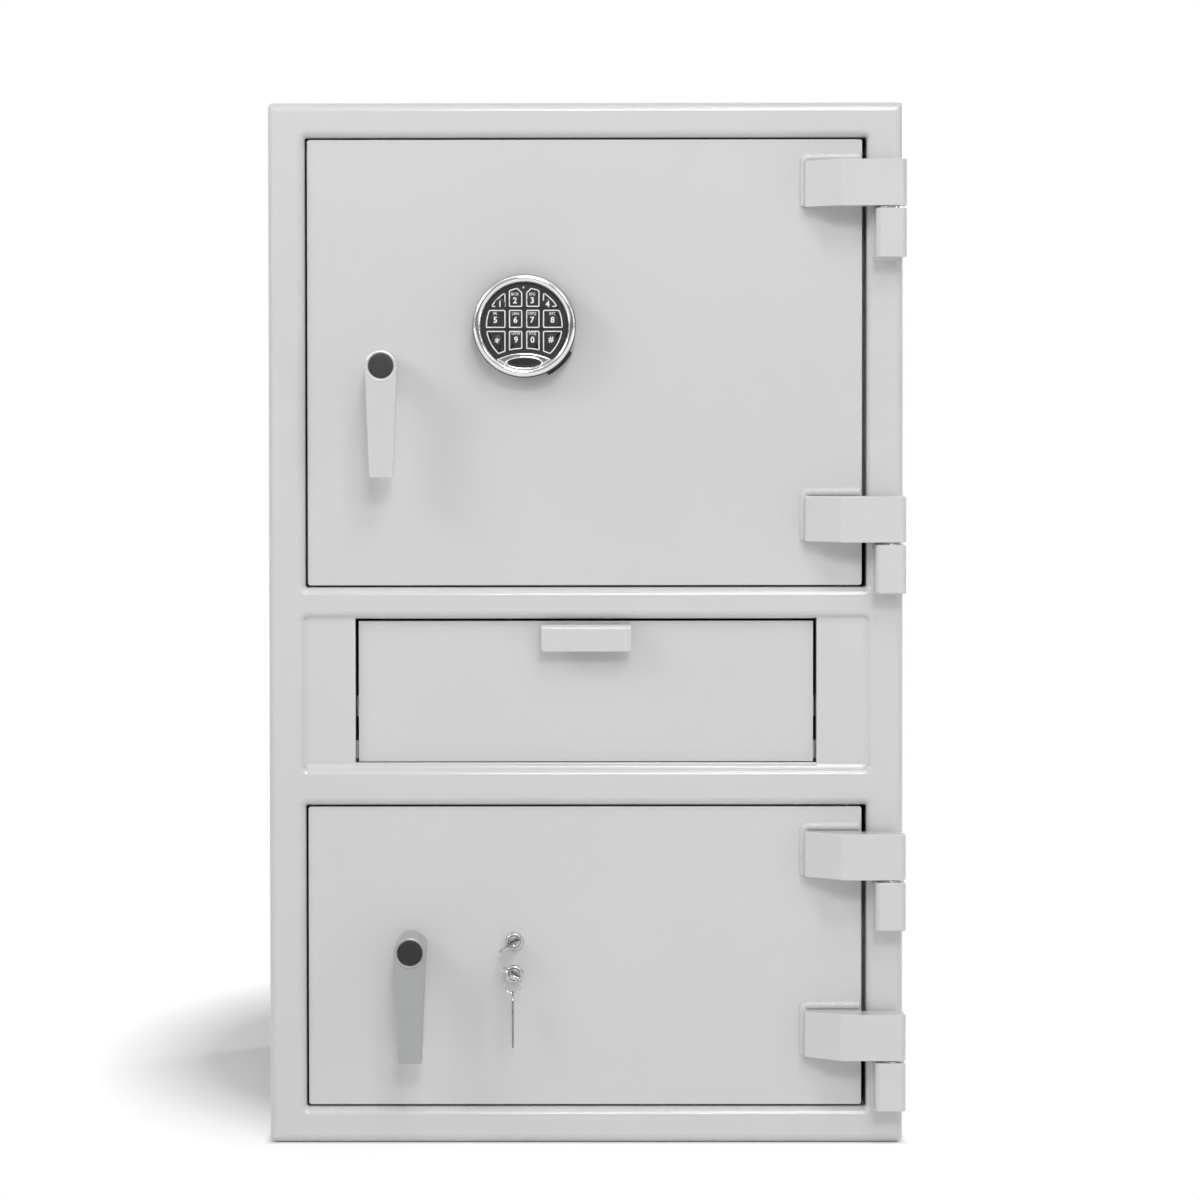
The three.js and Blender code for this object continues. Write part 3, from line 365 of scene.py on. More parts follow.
# ---- Shells, as bmeshes in millimetres ----
def outward(builder):
    """Turns the faces of a shell outwards."""
    bmesh.ops.recalc_face_normals(builder, faces=builder.faces)
    return builder


def ring_at(builder, y, outline):
    """The points of an outline, at one depth."""
    return [builder.verts.new((x, y, z)) for x, z in outline]


def bridge(builder, near, far, closed=True):
    """A strip of faces between two matching rows of points, closed to a band or left open."""
    count = len(near)
    for i in range(count if closed else count - 1):
        j = (i + 1) % count
        builder.faces.new((near[i], far[i], far[j], near[j]))


def cap(builder, near, far):
    """Closes both ends of a shell."""
    builder.faces.new(near)
    builder.faces.new(far[::-1])


def turned(profile, x, z, sides=96):
    """A profile of [radius, y] points from front to back, turned about a line along Y, closed on its axis."""
    builder = bmesh.new()
    angles = [2 * math.pi * i / sides for i in range(sides)]
    rings = []
    for radius, y in profile:
        if radius < 1e-6:
            rings.append(ring_at(builder, y, [(x, z)]))
        else:
            circle = [(x + radius * math.cos(a), z + radius * math.sin(a)) for a in angles]
            rings.append(ring_at(builder, y, circle))
    for front, back in zip(rings, rings[1:] + ([rings[0]] if len(rings[0]) > 1 else [])):
        for i in range(sides):
            j = (i + 1) % sides
            corners = (front[i % len(front)], front[j % len(front)], back[j % len(back)], back[i % len(back)])
            corners = list(dict.fromkeys(corners))
            if len(corners) > 2:
                builder.faces.new(corners)
    return outward(builder)


def stepped(outlines, back):
    """A plate built from matching outlines, each [depth, outline], closed in front and at its back."""
    builder = bmesh.new()
    rings = [ring_at(builder, y, outline) for y, outline in outlines + [(back, outlines[-1][1])]]
    for near, far in zip(rings, rings[1:]):
        bridge(builder, near, far)
    cap(builder, rings[0], rings[-1])
    return outward(builder)


def hoop(outlines):
    """A closed hoop from matching outlines, each [depth, outline], the last joined to the first."""
    builder = bmesh.new()
    rings = [ring_at(builder, y, outline) for y, outline in outlines]
    for near, far in zip(rings, rings[1:] + rings[:1]):
        bridge(builder, near, far)
    return outward(builder)


def layered(layers):
    """A solid with holes, from matching sets of loops, each set [depth, loops], closed in front and behind."""
    builder = bmesh.new()
    rings = [[ring_at(builder, y, loop) for loop in loops] for y, loops in layers]
    for near_loops, far_loops in zip(rings, rings[1:]):
        for near, far in zip(near_loops, far_loops):
            bridge(builder, near, far)
    for ring in (rings[0], rings[-1]):
        flat = [v for loop in ring for v in loop]
        for corners in tessellate_polygon([[v.co.copy() for v in loop] for loop in ring]):
            builder.faces.new([flat[i] for i in corners])
    return outward(builder)


def rounded_steps(front, radius, steps):
    """Depth and inset along a rounded front edge, from its most forward line."""
    turns = [math.pi / 2 * i / steps for i in range(steps, -1, -1)]
    return [(front + radius * (1 - math.sin(t)), radius * (1 - math.cos(t))) for t in turns]


# ---- Front frame ----
def frame_loops(inset):
    """The frame's outer edge and its openings, as far in from the front's full reach as the inset says."""
    half = BODY_WIDTH / 2
    outer_corner, opening_corner = 4, 2
    corner = max(outer_corner - inset, 0.3)
    loops = [rounded_rectangle(-half + inset, half - inset, inset, BODY_HEIGHT - inset, corner)]
    side = OPENING_HALF + inset
    for low, high in OPENINGS:
        loops.append(rounded_rectangle(-side, side, low - inset, high + inset, opening_corner + inset)[::-1])
    return loops


def make_front_frame():
    """The plate with the three openings, rounded outside and in."""
    layers = rounded_steps(FRAME_FRONT, FRAME_ROUND, 10) + [(FRAME_BACK, 0)]
    builder = layered([(y, frame_loops(inset)) for y, inset in layers])
    obj = to_object("rounded_front_frame", builder, frame_paint)
    finish_piece(obj, "safe_body", "frame_paint", "front_frame")


make_front_frame()

# ---- Body shell and runners ----
dressed("body_wrap", "folded_shell", "safe_body", "frame_paint", frame_paint, 0.8)
dressed("back_plate", "back_panel", "safe_body", "frame_paint", frame_paint, 0.8)
dressed("floor_plate", "anchor_floor", "safe_body", "inner_paint", inner_paint, 0.5)
dressed("bay_roof", "dividing_shelf", "safe_body", "inner_paint", inner_paint, 0.6)
dressed("drawer_housing", "drawer_surround", "safe_body", "frame_paint", frame_paint, 0.5)
for side in ("left", "right"):
    dressed(f"fixed_runner_{side}", f"{side}_outer_slide", "safe_body", "zinc", zinc_plate, 0.3)
    dressed(f"moving_runner_{side}", f"{side}_inner_slide", "drawer", "zinc", zinc_plate, 0.3)


# ---- Doors, hinges and boltwork ----
def make_door_plate(side):
    """A flat plate with a rounded front edge, and holes for its handle and key locks."""
    low, high = (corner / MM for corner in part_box(f"{side}_door_plate"))
    spots = [(*HANDLES[side], HANDLE_HOLE)]
    if side == "lower":
        spots += [(x, z, NOSE_HOLE) for x, z in NOSES.values()]
    holes = [arc(x, z, radius, 360, 0, 24)[:-1] for x, z, radius in spots]

    def loops(inset):
        edge = rounded_rectangle(low.x + inset, high.x - inset, low.z + inset, high.z - inset, 2.2 - inset)
        return [edge, *holes]

    steps = rounded_steps(DOOR_FRONT, 0.6, 4) + [(DOOR_BACK - 0.4, 0), (DOOR_BACK, 0.4)]
    obj = to_object(f"{side}_door_panel", layered([(y, loops(inset)) for y, inset in steps]), frame_paint)
    finish_piece(obj, f"{side}_door", "frame_paint", f"{side}_door_plate")


def make_hinge(side, place):
    """A leaf on the door over a block on the frame, whose washer and pin are bare steel."""
    leaf, block = f"{side}_hinge_leaf_{place}", f"{side}_hinge_knuckle_{place}"
    dressed(leaf, f"{side}_{place}_hinge_arm", f"{side}_door", "frame_paint", frame_paint, 0.9,
            segments=1, corner=20)
    painted_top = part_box(leaf)[0].z / MM - HINGE_GAP + 0.1
    dressed(block, f"{side}_{place}_hinge_block", "safe_body", "frame_paint", (frame_paint, turned_steel),
            0.7, segments=1, corner=20, pick=lambda middle: 1 if middle.z > painted_top else 0)


BOLT_ROOT = -191  # to the left of this the bolts are bare steel

for side in ("upper", "lower"):
    make_door_plate(side)
    dressed(f"{side}_door_case", f"{side}_door_pan", f"{side}_door", "inner_paint", inner_paint, 0.8)
    for place in ("top", "bottom"):
        make_hinge(side, place)
    dressed(f"{side}_boltwork", f"{side}_bolt_carriage", f"{side}_boltwork_body", "zinc",
            (zinc_plate, turned_steel), 0.35, pick=lambda middle: 1 if middle.x < BOLT_ROOT else 0)
    dressed(f"{side}_lock_bolt", f"{side}_lock_tongue", f"{side}_lock_bolt_body", "zinc", turned_steel, 0.5)
    dressed(f"{side}_handle_spindle", f"{side}_lever_spindle", f"{side}_handle_body", "zinc", zinc_plate, 0.4)
dressed("upper_lock_case", "upper_lock_box", "upper_door", "zinc", zinc_plate, 0.8)
dressed("lower_lock_case", "lower_lock_box", "lower_door", "chrome", (zinc_plate, satin_plate), 0.4,
        pick=lambda middle: 1 if middle.y < DOOR_FRONT else 0)

# ---- Lever handles ----
LEVER_FRONT, LEVER_BACK = DOOR_FRONT - 42, DOOR_FRONT - 28


def lever_outline(x, z):
    """A round head, and an arm that narrows down to a squared tip."""
    head, tip, length, corner = 13, 9.5, 90, 1.6
    slope = math.degrees(math.asin((head - tip) / length))
    low = z - length + corner
    return (
        arc(x, z, head, -slope, 180 + slope, 40)
        + arc(x - tip + corner, low, corner, 180, 270, 4)
        + arc(x + tip - corner, low, corner, 270, 360, 4)
    )


def make_lever(side):
    """The arm, its hollow hub, and the plastic cap that closes the hub."""
    x, z = HANDLES[side]
    body, node, front = f"{side}_handle_body", f"{side}_handle", LEVER_FRONT
    arm = stepped([(front, lever_outline(x, z))], LEVER_BACK)
    arm = to_object(f"{side}_lever_arm", arm, lit_and_shaded_lever_paints[side])
    chamfer(arm, 1.2)
    finish_piece(arm, body, "silver_paint", node, corner=50)
    hub = turned([
        (10.5, front + 2), (10.5, front - 0.6), (10.9, front - 1), (11.9, front - 1), (12.6, front - 0.4),
        (13, front + 0.4), (13, front + 1.4), (13, DOOR_FRONT - 1.2), (12.6, DOOR_FRONT - 0.4),
        (5.4, DOOR_FRONT - 0.4), (5.4, front + 2),
    ], x, z)
    hub = to_object(f"{side}_lever_hub", hub, lit_and_shaded_lever_paints[side])
    finish_piece(hub, body, "silver_paint", node, corner=50)
    disc = turned([
        (0, front - 1.15), (7, front - 1.1), (9, front - 1.0), (9.9, front - 0.7), (10.2, front - 0.1),
        (10.2, front + 1.6), (0, front + 1.6),
    ], x, z)
    disc = to_object(f"{side}_lever_cap", disc, lit_and_shaded_cap_plastics[side])
    finish_piece(disc, body, "black", f"{side}_handle_cap", corner=50)


for side in HANDLES:
    make_lever(side)

# ---- Keypad ----
FACE = DOOR_FRONT - 19
CREST = DOOR_FRONT - 24
RING_REAR = DOOR_FRONT - 8.6
RING_OUT, RING_IN = 41.4, 34.7
LOBE_TOP, LOBE_RADIUS = -21.8, 49.1
LOBE_FRONT, LOBE_BACK = FACE - 3.5, FACE - 0.3
BADGE_Z = PAD_Z - 30.1
LAMP_X, LAMP_Z = PAD_X - 0.6, PAD_Z + 31
BUTTON_FRONT, BUTTON_BACK = FACE - 1.4, FACE + 1.8

dressed("keypad_base", "keypad_foot", "upper_door", "black", pad_plastic, 0.6)
nodes["keypad_face"].data.materials.clear()
nodes["keypad_face"].data.materials.append(pad_plastic)


def make_keypad_ring():
    """A bright ring with a round crest."""
    middle, crown = (RING_OUT + RING_IN) / 2 + 0.4, 2.2
    reach = RING_OUT - middle
    profile = [(RING_IN + 0.2, CREST + 4.6), (RING_IN + 0.1, CREST + 3.6), (RING_IN + 0.5, CREST + 2.6)]
    for i in range(13):
        turn = math.radians(200 - 200 * i / 12)
        profile.append((middle + reach * math.cos(turn), CREST + crown - crown * max(0, math.sin(turn))))
    profile += [(RING_OUT, CREST + 4), (RING_OUT - 0.3, CREST + 5), (RING_OUT - 0.3, RING_REAR),
                (RING_IN + 0.2, RING_REAR)]
    ring = to_object("keypad_chrome_ring", turned(profile, PAD_X, PAD_Z, 128), bright_plate)
    finish_piece(ring, "upper_door", "chrome", "keypad_bezel", corner=60)


def make_keypad_dark_edge():
    """A band of the keypad's black plastic, a little wider than the ring, that shows as a dark edge round it.
    """
    front, rear = DOOR_FRONT - 14, RING_REAR + 0.2
    inner, outer = RING_OUT - 1, RING_OUT + 0.6
    profile = [(inner, front), (outer - 0.3, front), (outer, front + 0.5), (outer, rear), (inner, rear)]
    edge_band = to_object("keypad_dark_edge", turned(profile, PAD_X, PAD_Z, 128), pad_plastic)
    finish_piece(edge_band, "upper_door", "black", corner=50)


def lobe_outline(inset):
    """The plate under the badge: a round arc above, and the ring's inner edge below."""
    centre = PAD_Z + LOBE_TOP - LOBE_RADIUS
    top, ring = LOBE_RADIUS - inset, RING_IN + 0.6 - inset
    drop = PAD_Z - centre
    meet = (top**2 - ring**2 + drop**2) / (2 * drop)
    half = math.sqrt(top**2 - meet**2)
    start = math.degrees(math.atan2(meet, half))
    below = math.degrees(math.atan2(centre + meet - PAD_Z, half))
    upper = arc(PAD_X, centre, top, start, 180 - start, 36)
    lower = arc(PAD_X, PAD_Z, ring, -180 - below, below, 36)
    return upper + lower[1:-1]


def oval(half_length, half_height):
    """An oval about the badge's middle."""
    steps = 64
    angles = [2 * math.pi * i / steps for i in range(steps)]
    return [(PAD_X + half_length * math.cos(a), BADGE_Z + half_height * math.sin(a)) for a in angles]


def make_badge():
    """A bare oval plate in a bright rim, on the ring's lobe."""
    front = LOBE_FRONT
    lobe = stepped([(front + step, lobe_outline(inset))
                    for step, inset in ((0, 1.5), (0.25, 0.7), (0.9, 0.15), (1.8, 0))], LOBE_BACK)
    lobe = to_object("keypad_lobe", lobe, bright_plate)
    finish_piece(lobe, "upper_door", "chrome", "keypad_bezel", corner=50)
    rim = hoop([(front + step, oval(half_length, half_height)) for half_length, half_height, step in (
        (13.6, 3.8, -0.5), (13.7, 3.9, -1.2), (14.1, 4.3, -1.58), (14.7, 4.9, -1.6),
        (15.2, 5.35, -1.2), (15.4, 5.5, -0.5), (15.4, 5.5, 0.6), (13.6, 3.8, 0.6),
    )])
    finish_piece(to_object("badge_rim", rim, bright_plate), "upper_door", "chrome", corner=60)
    plate = stepped([(front - 0.75, oval(8, 1.6)), (front - 0.7, oval(12, 3)),
                     (front - 0.6, oval(13.65, 3.85))], front + 0.3)
    finish_piece(to_object("badge_plate", plate, badge_gloss), "upper_door", "black", corner=60)


def make_lamp():
    """The small lens above the buttons."""
    profile = [(0, FACE - 0.75), (0.5, FACE - 0.65), (0.85, FACE - 0.35), (0.95, FACE + 0.2), (0, FACE + 0.2)]
    lens = to_object("keypad_lamp", turned(profile, LAMP_X, LAMP_Z, 24), lamp_lens)
    finish_piece(lens, "upper_door", "black", corner=60)


# Each button's sign, and the sign's place from the keypad's middle
BUTTONS = {
    "1": ("1", -19.7, 17.6), "2": ("2", -7.5, 20.5), "3": ("3", 6.5, 20.5), "4": ("4", 18.9, 17.6),
    "5": ("5", -23.5, 4.7), "6": ("6", -7.1, 4.7), "7": ("7", 6.5, 4.7), "8": ("8", 22.9, 4.7),
    "star": ("*", -21.9, -12), "9": ("9", -6.7, -11.4), "0": ("0", 6.7, -11.4), "hash": ("#", 21.7, -11.4),
}
LETTERS = {"2": "BCD", "3": "EFG", "5": "IJK", "6": "LMN", "7": "OPQ", "8": "RST", "9": "UVW", "0": "XYZ"}
DIGIT_SIZE, STAR_SIZE, LETTER_SIZE = 6.6, 9, 3
LETTER_RISE = 5.1
DOME_RADIUS, DOME_RISE = 4.4, 0.5


def printed_sign(text, name, size, x, y, z, bold):
    """A printed sign that faces the front, a hair proud of its button."""
    letters = bpy.data.curves.new(name, "FONT")
    letters.body = text
    letters.size = size * MM
    letters.offset = bold * MM
    letters.extrude = 0.04 * MM
    letters.align_x, letters.align_y = "CENTER", "CENTER"
    letters.resolution_u = 4
    words = new_object(name, letters)
    data = evaluated_mesh(words)
    bpy.data.objects.remove(words)
    low = Vector([min(v.co[i] for v in data.vertices) for i in range(3)])
    high = Vector([max(v.co[i] for v in data.vertices) for i in range(3)])
    data.transform(Matrix.Translation(-(low + high) / 2))
    data.transform(Matrix.Translation(Vector((x, y, z)) * MM) @ Matrix.Rotation(math.pi / 2, 4, "X"))
    data.materials.clear()
    data.materials.append(print_white)
    return new_object(name, data)


def make_button(name, sign, across, up):
    """A rubber button with a white line round it, and a low dome that carries its sign."""
    node, body, front = f"key_{name}", f"key_{name}_body", BUTTON_FRONT
    outline = round_corners(without_near_points(front_outline(node)), 1.6)
    layers = [
        (front + 0.02, inset_outline(outline, 1.6)), (front, inset_outline(outline, 0.5)),
        (front + 0.12, inset_outline(outline, 0.12)), (front + 0.4, outline),
    ]
    button = to_object(f"button_{name}", stepped(layers, BUTTON_BACK), button_rubber)
    finish_piece(button, body, "black", node, corner=45)
    outer, inner = inset_outline(outline, 0.15), inset_outline(outline, 1.1)
    line = hoop([(front + 0.07, outer), (front - 0.04, outer), (front - 0.04, inner), (front + 0.07, inner)])
    finish_piece(to_object(f"button_{name}_line", line, print_white), body, "black", corner=45)
    x, z = PAD_X + across, PAD_Z + up
    foot, rise = front + 0.05, DOME_RISE + 0.05
    turns = [math.radians(15 * step) for step in range(7)]
    profile = [(DOME_RADIUS * math.sin(a), foot - rise * math.cos(a)) for a in turns] + [(0, foot)]
    dome = to_object(f"button_{name}_dome", turned(profile, x, z, 40), button_rubber)
    finish_piece(dome, body, "black", corner=60)
    size = STAR_SIZE if name == "star" else DIGIT_SIZE
    label = printed_sign(sign, f"button_{name}_print", size, x, front - DOME_RISE - 0.02, z, 0.2)
    finish_piece(label, body, "black", corner=45)
    if name in LETTERS:
        row = printed_sign(LETTERS[name], f"button_{name}_letters", LETTER_SIZE,
                           x, front - 0.02, z + LETTER_RISE, 0.04)
        finish_piece(row, body, "black", corner=45)


make_keypad_ring()
make_keypad_dark_edge()
make_badge()
make_lamp()
for name, (sign, across, up) in BUTTONS.items():
    make_button(name, sign, across, up)

# ---- Key locks ----
for side in NOSES:
    dressed(f"{side}_plug", f"{side}_lock_barrel", f"{side}_plug_body", "chrome", satin_plate, 0.3)
    dressed(f"{side}_key", f"{side}_door_key", f"{side}_plug_body", "chrome", key_metal, 0.3)
dressed("key_ring", "split_ring", "key_ring_body", "chrome", ring_wire, 0)
dressed("spare_key", "hanging_key", "spare_key_body", "chrome", darker_key_metal, 0.2)

# ---- Drawer ----
dressed("drawer_front", "drawer_face", "drawer", "frame_paint", frame_paint, 0.35)
dressed("drawer_tray", "drawer_box", "drawer", "inner_paint", inner_paint, 0.4)
dressed("drop_floor", "tipping_floor", "drop_floor_body", "inner_paint", inner_paint, 0.4)


def make_pull():
    """A bent sheet: a flange out from the drawer, a round bend, and a lip with round lower corners."""
    first, last = (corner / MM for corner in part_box("drawer_pull"))
    half, low, top = last.x, first.z, last.z
    front, back = first.y, last.y
    sheet, bend, corner = 2.5, 4, 3
    path = [(back, top)] + arc(front + bend, top - bend, bend, 90, 180, 8) + [(front, low + corner)]
    path += [(front, low + corner * (1 - math.sin(math.radians(90 * i / 7)))) for i in range(1, 8)]
    builder = bmesh.new()
    columns = 12
    rows = []
    for y, z in path:
        rise = low + corner - z
        width = half if rise <= 0 else half - corner + math.sqrt(max(corner**2 - rise**2, 0))
        rows.append([builder.verts.new((width * (2 * k / columns - 1), y, z)) for k in range(columns + 1)])
    for near, far in zip(rows, rows[1:]):
        bridge(builder, near, far, closed=False)
    outward(builder)
    if sum(f.normal.z * f.calc_area() for f in builder.faces) < 0:
        bmesh.ops.reverse_faces(builder, faces=builder.faces)
    pull = to_object("bent_pull", builder, frame_paint)
    wall = pull.modifiers.new("sheet", "SOLIDIFY")
    wall.thickness = sheet * MM
    wall.offset = -1
    apply_modifiers(pull)
    soften(pull, 0.5, 3, 50)
    finish_piece(pull, "drawer", "frame_paint", "drawer_pull", corner=40)


# The filler weld's curve: inset from the opening's edge, and depth from the filler's face
FILLER_WELD_CURVE = ((4.6, -0.02), (0.6, -0.07), (-1.5, -2.02))


def make_filler_weld(side, sign):
    """The hollow weld round a filler strip, from its face out to the opening's rounded edge."""
    low, high = OPENINGS[1]
    on_face, hollow, on_frame = (Vector((inset, FILLER_FRONT + depth)) for inset, depth in FILLER_WELD_CURVE)
    section = corner_curve(on_face, hollow, on_frame, 6) + [(-1, FILLER_FRONT + 0.5), (4.6, FILLER_FRONT + 0.8)]
    builder = bmesh.new()
    rows = []
    for inset, y in section:
        radius = max(3 - inset, 0.4)
        edge, top, bottom = OPENING_HALF - inset - radius, high - inset, low + inset
        path = ([(FILLER_HALF, top)] + arc(edge, top - radius, radius, 90, 0, 6)
                + arc(edge, bottom + radius, radius, 0, -90, 6) + [(FILLER_HALF, bottom)])
        rows.append(ring_at(builder, y, [(sign * x, z) for x, z in path]))
    for near, far in zip(rows, rows[1:] + rows[:1]):
        bridge(builder, near, far, closed=False)
    cap(builder, [row[0] for row in rows], [row[-1] for row in rows])
    weld = to_object(f"{side}_filler_weld", outward(builder), frame_paint)
    finish_piece(weld, "safe_body", "frame_paint", corner=45)


# The sill weld's section: height over the opening's lower edge, and depth behind the frame's front
SILL_SECTION = ((-1.5, 2.98), (-0.6, 3.65), (0.5, 4.1), (1.6, 4.25), (2.6, 4.3),
                (3.3, 4.55), (3.6, 5.1), (3.5, 6.5), (-1.8, 6.5))


def make_sill_weld():
    """The hollow weld along the sill, from the opening's rounded edge up to just under the drawer."""
    low, half = OPENINGS[1][0], FILLER_HALF - 0.2
    builder = bmesh.new()
    left, right = ([builder.verts.new((x, FRAME_FRONT + depth, low + rise)) for rise, depth in SILL_SECTION]
                   for x in (-half, half))
    bridge(builder, left, right)
    cap(builder, left, right)
    finish_piece(to_object("sill_weld", outward(builder), frame_paint), "safe_body", "frame_paint", corner=45)


make_pull()
make_filler_weld("left", -1)
make_filler_weld("right", 1)
make_sill_weld()


# ---- Hinge welds, by geometry nodes ----
def new_tree(name, sizes):
    """A geometry tree with a named input for each size and for its finish."""
    tree = bpy.data.node_groups.new(name, "GeometryNodeTree")
    tree.interface.new_socket("Geometry", in_out="INPUT", socket_type="NodeSocketGeometry")
    tree.interface.new_socket("Geometry", in_out="OUTPUT", socket_type="NodeSocketGeometry")
    for label, value in sizes.items():
        socket = tree.interface.new_socket(label, in_out="INPUT", socket_type="NodeSocketFloat")
        socket.default_value = value
    tree.interface.new_socket("Finish", in_out="INPUT", socket_type="NodeSocketMaterial")
    return tree, add_node(tree, "NodeGroupInput").outputs


def weld_tree():
    """A bead along a curve, with ripples along it and an uneven width."""
    tree, given = new_tree("weld_bead", {
        "Bead radius": 0.003, "Ripple pitch": 0.003, "Ripple depth": 0.06, "Step": 0.0006, "Seed": 3,
    })
    even = add_node(tree, "GeometryNodeResampleCurve", {"Curve": given["Geometry"], "Length": given["Step"]},
                    mode="LENGTH")
    along = add_node(tree, "GeometryNodeSplineParameter").outputs["Length"]
    ripples = calculate(tree, "MULTIPLY", calculate(tree, "DIVIDE", along, given["Ripple pitch"]), 2 * math.pi)
    waves = calculate(tree, "MULTIPLY", calculate(tree, "SINE", ripples), given["Ripple depth"])
    uneven = add_node(tree, "ShaderNodeTexNoise", {"Scale": 160, "W": given["Seed"]}, noise_dimensions="4D")
    wander = calculate(tree, "MULTIPLY", calculate(tree, "SUBTRACT", uneven.outputs["Fac"], 0.5), 0.14)
    width = calculate(tree, "ADD", calculate(tree, "ADD", waves, 1), wander)
    section = add_node(tree, "GeometryNodeCurvePrimitiveCircle",
                       {"Resolution": 14, "Radius": given["Bead radius"]})
    skin = add_node(tree, "GeometryNodeCurveToMesh", {
        "Curve": even.outputs["Curve"], "Profile Curve": section.outputs["Curve"], "Scale": width,
        "Fill Caps": True,
    })
    real = add_node(tree, "GeometryNodeRealizeInstances", {"Geometry": skin.outputs["Mesh"]})
    paint = add_node(tree, "GeometryNodeSetMaterial", {
        "Geometry": real.outputs["Geometry"], "Material": given["Finish"],
    })
    add_node(tree, "NodeGroupOutput", {"Geometry": paint.outputs["Geometry"]})
    return tree


bead_tree = weld_tree()


def bent_path(corners, radius=3.0):
    """A path in space with its corners rounded."""
    path = [corners[0]]
    for before, here, after in zip(corners, corners[1:], corners[2:]):
        before, here, after = Vector(before), Vector(here), Vector(after)
        start = here + (before - here).normalized() * radius
        end = here + (after - here).normalized() * radius
        path += corner_curve(start, here, end)
    return path + [corners[-1]]


def path_object(name, points):
    """A line through points that are in millimetres."""
    line = bpy.data.curves.new(name, "CURVE")
    line.dimensions = "3D"
    spline = line.splines.new("POLY")
    spline.points.add(len(points) - 1)
    for point, place in zip(spline.points, points):
        point.co = (*[c * MM for c in place], 1)
    return new_object(name, line)


def grown(obj, tree, values):
    """Runs a tree on an object with the values of its inputs, and gives the result as a plain mesh."""
    maker = obj.modifiers.new("maker", "NODES")
    maker.node_group = tree
    for item in tree.interface.items_tree:
        if item.in_out == "INPUT" and item.name in values:
            maker[item.identifier] = values[item.name]
    data, name = evaluated_mesh(obj), obj.name
    bpy.data.objects.remove(obj)
    return new_object(name, data)


def make_weld(name, corners, body, radius, seed):
    """A painted bead along a path, with a seed for its own unevenness."""
    bead = grown(path_object(name, bent_path(corners)), bead_tree, {
        "Bead radius": radius * MM, "Ripple depth": 0.025, "Seed": float(seed), "Finish": frame_paint,
    })
    finish_piece(bead, body, "frame_paint", corner=80)


ARM_WELD, BLOCK_WELD = 3.6, 2.4  # the beads' radii

seed = 1
for side in ("upper", "lower"):
    for place in ("top", "bottom"):
        low, high = (corner.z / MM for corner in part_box(f"{side}_hinge_leaf_{place}"))
        above = high + ARM_WELD - 0.2
        corners = [(DOOR_EDGE - 2, DOOR_FRONT, above), (LEAF_LEFT, DOOR_FRONT, above),
                   (LEAF_LEFT, DOOR_FRONT, low + 1)]
        make_weld(f"{side}_{place}_arm_weld", corners, f"{side}_door", ARM_WELD, seed)
        block_low, block_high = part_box(f"{side}_hinge_knuckle_{place}")[0].z / MM, low - HINGE_GAP
        corners = [(BLOCK_LEFT, FRAME_FRONT, block_high - 3), (BLOCK_LEFT, FRAME_FRONT, block_low),
                   (BLOCK_LEFT + 20, FRAME_FRONT, block_low)]
        make_weld(f"{side}_{place}_block_weld", corners, "safe_body", BLOCK_WELD, seed + 1)
        seed += 2

# ---- Stage, light and camera, in metres and watts ----
scene = bpy.context.scene
scene.view_settings.view_transform = "Standard"

FLOOR_COLOR = (0.94, 0.94, 0.94, 1)
FLOOR_LIFT = 0.04  # light that the floor gives off where it is seen, so that its shadow stays pale
FLOOR_CORNERS = ((-30, -30), (30, -30), (30, 60), (-30, 60))
FLOOR_LEVEL = -0.0005
SHADOW_SQUEEZE, SHADOW_MIDDLE = (2, 1, 0), (-0.4, 0.2, 0)
SHADOW_START, SHADOW_END = 0.28, 0.5
FOOTPRINT_SIDE, FOOTPRINT_END = (0.258, 0.264), (0.249, 0.254)
AMBIENT = 0.28


def vector_step(tree, operation, a, b, output):
    """One sum on places."""
    return add_node(tree, "ShaderNodeVectorMath", {0: a, 1: b}, operation=operation).outputs[output]


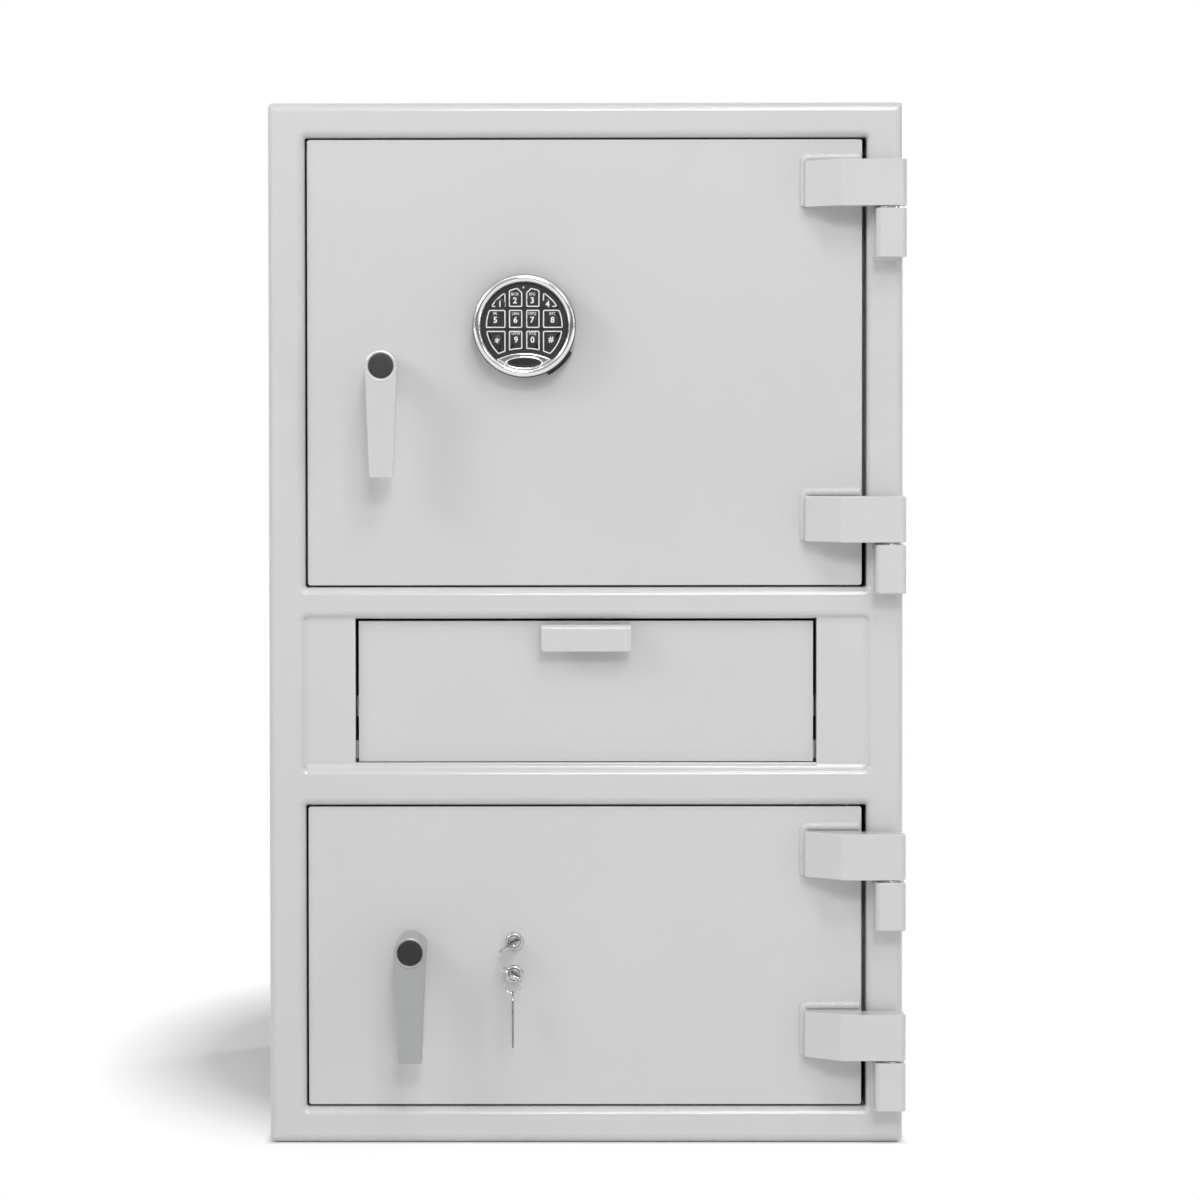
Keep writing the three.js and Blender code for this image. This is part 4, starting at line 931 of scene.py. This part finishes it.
def make_floor():
    """A pale floor that takes the safe's shadow on the left, and runs out into plain white.
    Under the safe it stays dark, so that a thin line shows where the safe stands on it."""
    builder = bmesh.new()
    builder.faces.new([builder.verts.new((x, y, FLOOR_LEVEL)) for x, y in FLOOR_CORNERS])
    finish = bpy.data.materials.new("studio_floor")
    finish.use_nodes = True
    tree = finish.node_tree
    shader = tree.nodes["Principled BSDF"]
    shader.inputs["Base Color"].default_value = FLOOR_COLOR
    shader.inputs["Roughness"].default_value = 0.9
    shader.inputs["Specular IOR Level"].default_value = 0.1
    rays = add_node(tree, "ShaderNodeLightPath").outputs
    seen = calculate(tree, "MAXIMUM", rays["Is Camera Ray"], rays["Is Glossy Ray"])
    lift = add_node(tree, "ShaderNodeEmission", {"Strength": calculate(tree, "MULTIPLY", seen, FLOOR_LIFT)})
    shaded = add_node(tree, "ShaderNodeAddShader", {0: shader.outputs["BSDF"], 1: lift.outputs["Emission"]})
    white = add_node(tree, "ShaderNodeEmission")
    place = add_node(tree, "ShaderNodeNewGeometry").outputs["Position"]
    squeezed = vector_step(tree, "MULTIPLY", place, SHADOW_SQUEEZE, "Vector")
    away = vector_step(tree, "DISTANCE", squeezed, SHADOW_MIDDLE, "Value")
    far = spread(tree, away, 0, 1, SHADOW_START, SHADOW_END)
    axes = add_node(tree, "ShaderNodeSeparateXYZ", {0: place}).outputs
    beside = spread(tree, calculate(tree, "ABSOLUTE", axes["X"]), 0, 1, *FOOTPRINT_SIDE)
    before = spread(tree, calculate(tree, "ABSOLUTE", axes["Y"]), 0, 1, *FOOTPRINT_END)
    far = calculate(tree, "MULTIPLY", far, calculate(tree, "MAXIMUM", beside, before))
    blend = add_node(tree, "ShaderNodeMixShader", {
        "Fac": calculate(tree, "MULTIPLY", far, seen),
        1: shaded.outputs["Shader"], 2: white.outputs["Emission"],
    })
    give(tree, tree.nodes["Material Output"].inputs["Surface"], blend.outputs["Shader"])
    plain_object("studio_floor", builder, finish)


def make_world():
    """White behind the safe, and for reflections a dimmer room in front of it with a pale ceiling."""
    world = bpy.data.worlds.new("studio")
    scene.world = world
    world.use_nodes = True
    tree = world.node_tree
    sky = tree.nodes["Background"]
    sky.inputs["Color"].default_value = (1, 1, 1, 1)
    rays = add_node(tree, "ShaderNodeLightPath").outputs
    toward = add_node(tree, "ShaderNodeTexCoord").outputs["Generated"]
    direction = add_node(tree, "ShaderNodeSeparateXYZ", {0: toward}).outputs
    ceiling = spread(tree, direction["Z"], 0.16, 0.8, 0.0, 0.7)
    behind = spread(tree, direction["Y"], 0, 1, -0.25, 0.35)
    room = calculate(tree, "MAXIMUM", ceiling, behind)
    straight = calculate(tree, "MAXIMUM", rays["Is Camera Ray"], rays["Is Transmission Ray"])
    mirrored = calculate(tree, "MULTIPLY", rays["Is Glossy Ray"], room)
    rest = calculate(tree, "MULTIPLY", calculate(tree, "SUBTRACT", 1, rays["Is Glossy Ray"]), AMBIENT)
    level = calculate(tree, "ADD", mirrored, rest)
    give(tree, sky.inputs["Strength"], calculate(tree, "MAXIMUM", straight, level))


def make_lamp_panel(name, place, aim, size, power, angle=180):
    """A square or long lamp that faces its aim. A narrower angle keeps its light off the floor."""
    data = bpy.data.lights.new(name, "AREA")
    data.shape = "RECTANGLE"
    data.size, data.size_y = size
    data.energy = power
    data.spread = math.radians(angle)
    lamp = new_object(name, data)
    lamp.location = place
    lamp.rotation_euler = (Vector(aim) - Vector(place)).to_track_quat("-Z", "Y").to_euler()


make_floor()
make_world()

SAFE_MIDDLE = (0, -0.25, 0.5)
make_lamp_panel("main_softbox", (0.3, -5, 3.1), SAFE_MIDDLE, (1, 1), 60)
make_lamp_panel("far_right_softbox", (2.2, -4.4, 2.6), SAFE_MIDDLE, (1, 1), 16)
make_lamp_panel("far_left_softbox", (-2.4, -4.4, 2.7), SAFE_MIDDLE, (1, 1), 4)
make_lamp_panel("high_front", (0.6, -2.3, 2.9), SAFE_MIDDLE, (0.8, 0.8), 17)
make_lamp_panel("left_softbox", (-1.7, -1.3, 1.7), (0.2, -0.25, 0.9), (0.8, 0.8), 4, 100)
make_lamp_panel("left_strip", (-2.2, -1.6, 0.9), SAFE_MIDDLE, (0.08, 1.8), 3.5)
make_lamp_panel("right_strip", (2.2, -1.6, 0.7), (0, -0.25, 0.4), (0.08, 1.8), 6)
make_lamp_panel("rear_softbox", (2.2, 2.0, 1.4), (0, 0.1, 0.5), (1, 1), 26)
make_lamp_panel("top_strip", (0, -1.5, 3.2), SAFE_MIDDLE, (2.4, 0.1), 6)

camera_data = bpy.data.cameras.new("camera")
camera_data.lens = 110.51
camera_data.shift_x, camera_data.shift_y = 0.06, -0.07
camera_data.clip_end = 100
camera = new_object("camera", camera_data)
camera.location = (-0.033, -3.2529, 0.5868)
camera.rotation_euler = [math.radians(angle) for angle in (88.5985, 0.0634, 0.2692)]
scene.camera = camera
